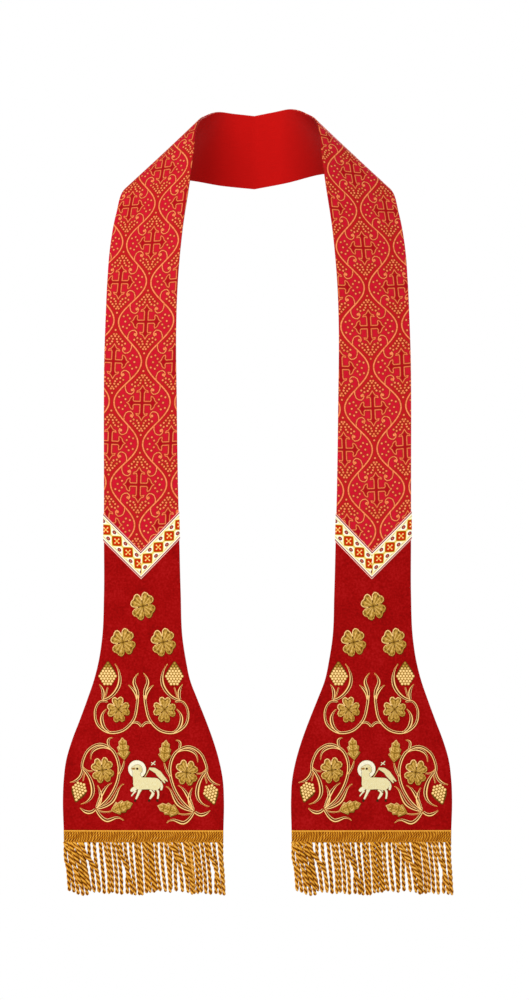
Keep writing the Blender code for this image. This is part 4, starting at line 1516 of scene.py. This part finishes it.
def add_stems(bm, side, stems, place, hand, rise):
    """Half of a design's stems, each a little over the one before."""
    for k, stem in enumerate(stems):
        path = smooth_path([place(*point) for point in stem.points], 1.3, arched=True)
        width_at = swelling(*(STEM_SHARE * width for width in (stem.start, stem.middle, stem.end)))
        stitched_stem(bm, side, path, width_at, STEM_RINGS, stem.dark * hand, rise, 0.02 * k, 0.9)


def petal_edges(flower, hand):
    """The edges of the four petals, each from notch to notch, measured from the flower's middle."""
    edges = []
    for petal in range(4):
        edge = []
        for angle, share in PETAL:
            turn = math.radians(hand * (flower.turn + 90 * petal + angle))
            reach = share * flower.radius * (flower.cleft if angle == 0 else 1)
            edge.append(Vector((math.cos(turn), math.sin(turn))) * reach * FLOWER_STRETCH)
        edges.append(edge)
    return edges


def bell(value, middle, width):
    """1 at its middle, and next to nothing two widths away from it."""
    return math.exp(-(((value - middle) / width) ** 2))


def petal_painted_shade(across, along):
    """Light and painted shade over a petal: dark inside its cord, in the valleys beside it, down
    its middle and near the flower's middle.
    """
    edge = min(across, 1 - across)
    inner = 0.45 * bell(along, 0.85, 0.05) + 0.12 * bell(along, 0.55, 0.05)
    valley_shade = bell(edge, 0, 0.11) + 0.15 * bell(across, 0.5, 0.045)
    return 0.67 - inner - valley_shade * ease(0.1, 0.4, along) - 0.45 * max(0.0, 1 - along / 0.25)


def add_flower(bm, side, centre, edges, settings):
    """Four petals filled with stitches that fan out, a cord round each and a knot between them."""
    cord, rise = settings.edge / MM / 2, settings.rise / MM
    for points in edges:
        edge = smooth_path(points, 1.2)
        count = len(edge) - 1

        def place(across_share, along_share):
            k = round(across_share * count)
            share = PETAL_START + (1 - PETAL_START) * along_share
            near = min(1.0, (1 - along_share) * 3, (1 - abs(across_share * 2 - 1)) * 4)
            height = WALL + rise * (0.12 + 0.78 * math.sqrt(max(near, 0.0)))
            spot = centre + edge[k] * share
            stitch = STITCHES[(k * 3 + int(share * 9) * 5) % len(STITCHES)]
            fan = 0.14 * math.cos(9.5 * math.pi * across_share)
            tone = petal_painted_shade(across_share, share) + fan + 0.42 * stitch
            return on_panel(side, spot.x, spot.y, height), (k * 1.1, share * 20), tone

        mapped_grid(bm, count, PETAL_ROWS, place)
        rim = [centre + spot for spot in edge]
        edge_cord(bm, side, rim, cord, WALL + rise * 0.6, (0.35, 1.05), False, middle=centre)
        shadow_cord(bm, side, rim, cord, False)
    knot = [centre + spot for spot in disc((0, 0), 1.2, 8)]
    edge_cord(bm, side, knot, cord * 0.8, WALL + rise * 0.7, (0.0, 0.3))


class STOLE_OT_flowers(Operator):
    """Embroider the flowers"""

    bl_idname = "stole.flowers"
    bl_label = "Flowers"

    def execute(self, context):
        settings = context.scene.stole_thread
        spots = [(flower, flower.name, design_place(0, 1), 1) for flower in UPPER_FLOWERS]
        for word, hand in HANDS.items():
            spots.append((SCROLL_FLOWER, f"scroll_{word}", design_place(UPPER_AXIS, hand), -hand))
            spots.append((SPRAY_FLOWER, f"spray_{word}", lower_place(hand), -hand))
        for label, side in SIDES.items():
            for flower, name, place, hand in spots:
                bm = new_mesh()
                centre = place(flower.across, flower.height)
                add_flower(bm, side, centre, petal_edges(flower, hand), settings)
                finish_piece(
                    context, f"gold_flower_{name}_{label}", bm, "gold_thread",
                    [f"flower_{name}_{label}"])
        return {"FINISHED"}


def reach_at(edge, share):
    """Half of a leaf's or bunch's width at a share of its length."""
    k = max(0, min(bisect_right([row[0] for row in edge], share) - 1, len(edge) - 2))
    (low, start), (high, end) = edge[k], edge[k + 1]
    return start + (end - start) * (share - low) / (high - low)


def add_leaf(bm, side, base, tip, width, settings):
    """A toothed leaf with a vein, and a cord round it."""
    along, length = (tip - base).normalized(), (tip - base).length
    off = left_of(along)
    rise, cord = settings.rise / MM, settings.edge / MM / 2

    def spot(share, out):
        forward = length * share + 1.6 * abs(out) * (1 - share)
        return base + along * forward + off * (width * reach_at(LEAF_EDGE, share) * out)

    def place(across_share, along_share):
        out = across_share * 2 - 1
        point = spot(along_share, out * 0.96)
        vein = bell(out, 0, 0.16)
        height = WALL + rise * (0.15 + 0.7 * math.sqrt(max(0.0, 1 - out * out)) - 0.35 * vein)
        rib = math.cos(math.tau * (along_share * 7 - abs(out) * 1.2))
        row, column = int(along_share * 23), int(out * 5 + 5)
        stitch = STITCHES[(row * row + 3 * column + 2 * row * column) % len(STITCHES)]
        tone = 0.62 + 0.08 * rib - 0.15 * vein + 0.3 * abs(out) ** 3 + 0.8 * stitch
        uv = (length * along_share - 4 * abs(out), out * width)
        return on_panel(side, point.x, point.y, height), uv, tone

    mapped_grid(bm, *LEAF_GRID, place)
    right = [spot(k / 40, -1) for k in range(1, 40)]
    left = [spot(k / 40, 1) for k in range(39, 0, -1)]
    rim = [base, *right, tip, *left]
    middle = base.lerp(tip, 0.5)
    edge_cord(bm, side, rim, cord * 0.75, WALL + rise * 0.5, (0.3, 0.95), middle=middle)
    shadow_cord(bm, side, rim, cord * 0.9)


class STOLE_OT_leaves(Operator):
    """Embroider the vine leaves"""

    bl_idname = "stole.leaves"
    bl_label = "Vine leaves"

    def execute(self, context):
        settings = context.scene.stole_thread
        for label, side in SIDES.items():
            for word, hand in HANDS.items():
                place = lower_place(hand)
                for leaf in (UPPER_LEAF, LOWER_LEAF):
                    bm = new_mesh()
                    base, tip = place(*leaf.base), place(*leaf.tip)
                    add_leaf(bm, side, base, tip, leaf.half_width, settings)
                    name = f"{leaf.name}_{word}_{label}"
                    finish_piece(context, f"gold_leaf_{name}", bm, "gold_thread", [f"leaf_{name}"])
        return {"FINISHED"}


def add_grape(bm, side, spot, bead, rise, shade):
    """One round grape, with a painted highlight on its upper side and painted shade round its foot.
    """
    tone, flat = bm.verts.layers.float[TONE], bm.loops.layers.uv[FLAT_MAP]
    for vert in bmesh.ops.create_icosphere(bm, subdivisions=2, radius=1)["verts"]:
        on_ball = vert.co.copy()
        vert[tone] = shade * (0.05 + 1.05 * max(0.0, on_ball.z + 0.2 * on_ball.y) ** 0.9)
        for loop in vert.link_loops:
            loop[flat].uv = (spot.x + on_ball.x * 2, spot.y + on_ball.y * 2)
        height = WALL + rise * (0.35 + 0.75 * on_ball.z)
        vert.co = on_panel(side, spot.x + on_ball.x * bead, spot.y + on_ball.y * bead, height)


def add_bunch(bm, side, base, tip, width, settings):
    """A pad painted dark as the shade between the grapes, with grapes in staggered rows over it. A
    bunch that stands up is darker towards its tip."""
    rise, bead = settings.rise / MM, settings.bead / MM
    length = (tip - base).length
    out = left_of((tip - base).normalized())
    edge = [base.lerp(tip, share) + out * reach * width for share, reach in BUNCH_EDGE]
    edge += [base.lerp(tip, share) - out * reach * width for share, reach in BUNCH_EDGE[::-1]]
    middle = sum(edge, Vector((0, 0))) / len(edge)
    outline = smooth_path([middle + (p - middle) * 0.87 for p in edge], 1.5, closed=True)
    padded_patch(bm, side, outline, WALL, 1.0, rise * 0.4, (0.0, 0.05, 0.1, 0.1))
    gap, rows = bead * GRAPE_GAP, round((length - bead) / (bead * GRAPE_ROW))
    for row in range(rows + 1):
        share = (bead * 0.7 + row * (length - bead * 1.4) / rows) / length
        limit = max(reach_at(BUNCH_EDGE, share) * width - bead * 0.6, 0.3 * gap)
        shade = 0.5 + 0.58 * (1 - ease(0.55, 0.8, share) * (tip.y > base.y))
        for k in range(-9, 10):
            off = (k + 0.5 * (row % 2)) * gap
            if abs(off) <= limit:
                add_grape(bm, side, base.lerp(tip, share) + out * off, bead, rise, shade)


class STOLE_OT_grapes(Operator):
    """Embroider the bunches of grapes"""

    bl_idname = "stole.grapes"
    bl_label = "Grapes"

    def execute(self, context):
        settings = context.scene.stole_thread
        for label, side in SIDES.items():
            for word, hand in HANDS.items():
                scroll, spray = design_place(UPPER_AXIS, hand), lower_place(hand)
                for bunch, place in ((SCROLL_BUNCH, scroll), (SPRAY_BUNCH, spray)):
                    bm = new_mesh()
                    base, tip = place(*bunch.base), place(*bunch.tip)
                    add_bunch(bm, side, base, tip, bunch.half_width, settings)
                    name = f"{bunch.name}_{word}_{label}"
                    finish_piece(
                        context, f"gold_grapes_{name}", bm, "gold_thread", [f"grapes_{name}"])
        return {"FINISHED"}


class STOLE_OT_scrolls(Operator):
    """Embroider the upper pair of scrolls"""

    bl_idname = "stole.scrolls"
    bl_label = "Upper scrolls"

    def execute(self, context):
        rise = context.scene.stole_thread.rise / MM
        for label, side in SIDES.items():
            bm = new_mesh()
            for hand in HANDS.values():
                add_stems(bm, side, SCROLL_STEMS, design_place(UPPER_AXIS, hand), hand, rise)
            finish_piece(
                context, f"gold_scrolls_{label}", bm, "gold_thread", [f"scrolls_{label}"],
                finish="stem_thread")
        return {"FINISHED"}


class STOLE_OT_sprays(Operator):
    """Embroider the lower sprays of vine"""

    bl_idname = "stole.sprays"
    bl_label = "Lower sprays"

    def execute(self, context):
        rise = context.scene.stole_thread.rise / MM
        for label, side in SIDES.items():
            for word, hand in HANDS.items():
                bm = new_mesh()
                add_stems(bm, side, SPRAY_STEMS, lower_place(hand), hand, rise)
                finish_piece(
                    context, f"gold_spray_{word}_{label}", bm, "gold_thread",
                    [f"spray_{word}_{label}"], finish="stem_thread")
        return {"FINISHED"}


def lamb_patches():
    """The padded parts over the lamb's limbs, in the order in which they are sewn on."""
    yield Patch(joined(LAMB_BODY), 0, 1.1, 1.05, (0.1, 0.95, 1.1, 0.77), 0.4)
    yield Patch(joined(LAMB_BANNER), 0, 0.9, 0.7, (0.1, 0.82, 1.0, 0.72), 0.45)
    yield Patch(joined(LAMB_EAR, 0.8), 0.9, 0.6, 0.4, (0.2, 0.36, 0.52, 0.62))
    yield Patch(joined(LAMB_MUZZLE, 0.6), 0.95, 0.5, 0.2, (0.5, 0.42, 0.36, 0.34))
    yield Patch(disc(LAMB_EYE, EYE_SPOT_RADIUS, 12), 0.95, 0.4, 0.3, (-0.3,) * 4)
    for hoof in LAMB_HOOVES:
        yield Patch(disc(hoof, HOOF_RADIUS, 12), 0.1, 0.6, 0.6, (-0.1,) * 4)


def add_patch(bm, side, patch, rise):
    """A padded part of the lamb, with a brown cord round it where it has an edge."""
    outline = [spot + LAMB_SHIFT for spot in patch.outline]
    low, height = WALL + rise * patch.low, rise * patch.height
    padded_patch(bm, side, outline, low, patch.rim, height, patch.tones)
    if patch.edge:
        edge_cord(bm, side, outline, patch.edge, low + height * 0.35, (0.05, 0.2), sides=4)
        shadow_cord(bm, side, outline, patch.edge)


def add_thread(bm, side, points, width_at, rings, height):
    """A limb of the lamb, or a thread over it."""
    path = [spot + LAMB_SHIFT for spot in smooth_path(points, 1.1)]
    stitched_stem(bm, side, path, width_at, rings, 1, height)


class STOLE_OT_lambs(Operator):
    """Embroider the lamb, its halo, staff and banner"""

    bl_idname = "stole.lambs"
    bl_label = "Lambs"

    def execute(self, context):
        rise = context.scene.stole_thread.rise / MM
        halo = Patch(disc(HALO_CENTRE, HALO_RADIUS), 0, 1.2, 0.4, (0.15, 0.95, 1.0, 0.95), 0.5)
        for label, side in SIDES.items():
            bm = new_mesh()
            add_patch(bm, side, halo, rise)
            for limb in LAMB_LIMBS:
                width_at = swelling(limb.start, limb.middle, limb.end)
                add_thread(bm, side, limb.points, width_at, WOOL_RINGS, rise * 0.8)
            for patch in lamb_patches():
                add_patch(bm, side, patch, rise)
            for points, width, rings, height in LAMB_THREADS:
                add_thread(bm, side, points, swelling(width, width, width), rings, rise * height)
            finish_piece(context, f"wool_lamb_{label}", bm, "cream_thread", [f"lamb_{label}"])
        return {"FINISHED"}


# ---------------------------------------------------------------- stage


def add_light(scene, light, power):
    """A round soft light that faces the stole."""
    data = bpy.data.lights.new(light.name, "AREA")
    data.shape = "DISK"
    data.size = light.size
    data.energy = power * light.share
    lamp = bpy.data.objects.new(light.name, data)
    lamp.location = light.place
    lamp.rotation_euler = (LIGHT_TARGET - light.place).to_track_quat("-Z", "Y").to_euler()
    scene.collection.objects.link(lamp)


def add_floor(scene, settings):
    """A plain floor below the stole, which belongs to the stage and not to the object."""
    bm = bmesh.new()
    bmesh.ops.create_grid(bm, x_segments=2, y_segments=2, size=FLOOR_HALF)
    bmesh.ops.translate(bm, verts=bm.verts, vec=(0, 0, settings.floor_level))
    mesh = bpy.data.meshes.new("floor")
    bm.to_mesh(mesh)
    bm.free()
    floor = bpy.data.objects.new("floor", mesh)
    recipe = Recipe("floor_paint", Roughness=0.9)
    mesh.materials.append(recipe.finish((*settings.floor_colour, 1.0)))
    scene.collection.objects.link(floor)
    floor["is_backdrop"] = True


def add_world(scene, settings):
    """Even light from all round. The camera sees plain white in its place."""
    world = bpy.data.worlds.new("Even light")
    scene.world = world
    world.use_nodes = True
    nodes, links = world.node_tree.nodes, world.node_tree.links
    sky, seen = nodes["Background"], nodes.new("ShaderNodeBackground")
    path, mix = nodes.new("ShaderNodeLightPath"), nodes.new("ShaderNodeMixShader")
    for background in (sky, seen):
        background.inputs["Color"].default_value = (1, 1, 1, 1)
    sky.inputs["Strength"].default_value = settings.fill
    links.new(path.outputs["Is Camera Ray"], mix.inputs[0])
    links.new(sky.outputs[0], mix.inputs[1])
    links.new(seen.outputs[0], mix.inputs[2])
    links.new(mix.outputs[0], nodes["World Output"].inputs["Surface"])


def add_camera(scene, settings):
    """A level camera straight in front, with a long lens."""
    data = bpy.data.cameras.new("Camera")
    data.lens = settings.lens
    camera = bpy.data.objects.new("Camera", data)
    x, y, z = CAMERA_AIM
    camera.location = (x, y - settings.distance, z)
    camera.rotation_euler = (math.radians(90), 0, 0)
    scene.collection.objects.link(camera)
    scene.camera = camera


class STOLE_OT_stage(Operator):
    """Set up the floor, the soft lights and the camera"""

    bl_idname = "stole.stage"
    bl_label = "Stage"

    def execute(self, context):
        scene = context.scene
        settings = scene.stole_stage
        add_floor(scene, settings)
        add_world(scene, settings)
        for light in LIGHTS:
            add_light(scene, light, settings.key)
        add_camera(scene, settings)
        scene.view_settings.view_transform = "Standard"
        return {"FINISHED"}


# ---------------------------------------------------------------- the add-on


OPERATORS = (
    STOLE_OT_bands, STOLE_OT_panels, STOLE_OT_lining, STOLE_OT_galloons, STOLE_OT_fringes,
    STOLE_OT_scrolls, STOLE_OT_sprays, STOLE_OT_flowers, STOLE_OT_leaves, STOLE_OT_grapes,
    STOLE_OT_lambs, STOLE_OT_stage,
)
SETTINGS = {
    "stole_cloth": StoleClothSettings,
    "stole_galloon": StoleGalloonSettings,
    "stole_fringe": StoleFringeSettings,
    "stole_thread": StoleThreadSettings,
    "stole_stage": StoleStageSettings,
}


class STOLE_PT_sidebar(Panel):
    """Lists the stole's settings and the buttons that build it"""

    bl_idname = "STOLE_PT_sidebar"
    bl_label = "Stole"
    bl_space_type = "VIEW_3D"
    bl_region_type = "UI"
    bl_category = "Stole"

    def draw(self, context):
        for name, group in SETTINGS.items():
            column = self.layout.box().column()
            for prop in group.__annotations__:
                column.prop(getattr(context.scene, name), prop)
        for operator in OPERATORS:
            self.layout.operator(operator.bl_idname)


CLASSES = (*SETTINGS.values(), *OPERATORS, STOLE_PT_sidebar)


def register():
    for each in CLASSES:
        bpy.utils.register_class(each)
    for name, group in SETTINGS.items():
        setattr(bpy.types.Scene, name, PointerProperty(type=group))


def unregister():
    for name in SETTINGS:
        delattr(bpy.types.Scene, name)
    for each in reversed(CLASSES):
        bpy.utils.unregister_class(each)


def main():
    register()
    for operator in OPERATORS:
        group, name = operator.bl_idname.split(".")
        getattr(getattr(bpy.ops, group), name)()
    boxes = {"cad": cad_box, "visual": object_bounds()}
    {key: [[float(c) for c in corner] for corner in box] for key, box in boxes.items()}


if __name__ == "__main__":
    main()
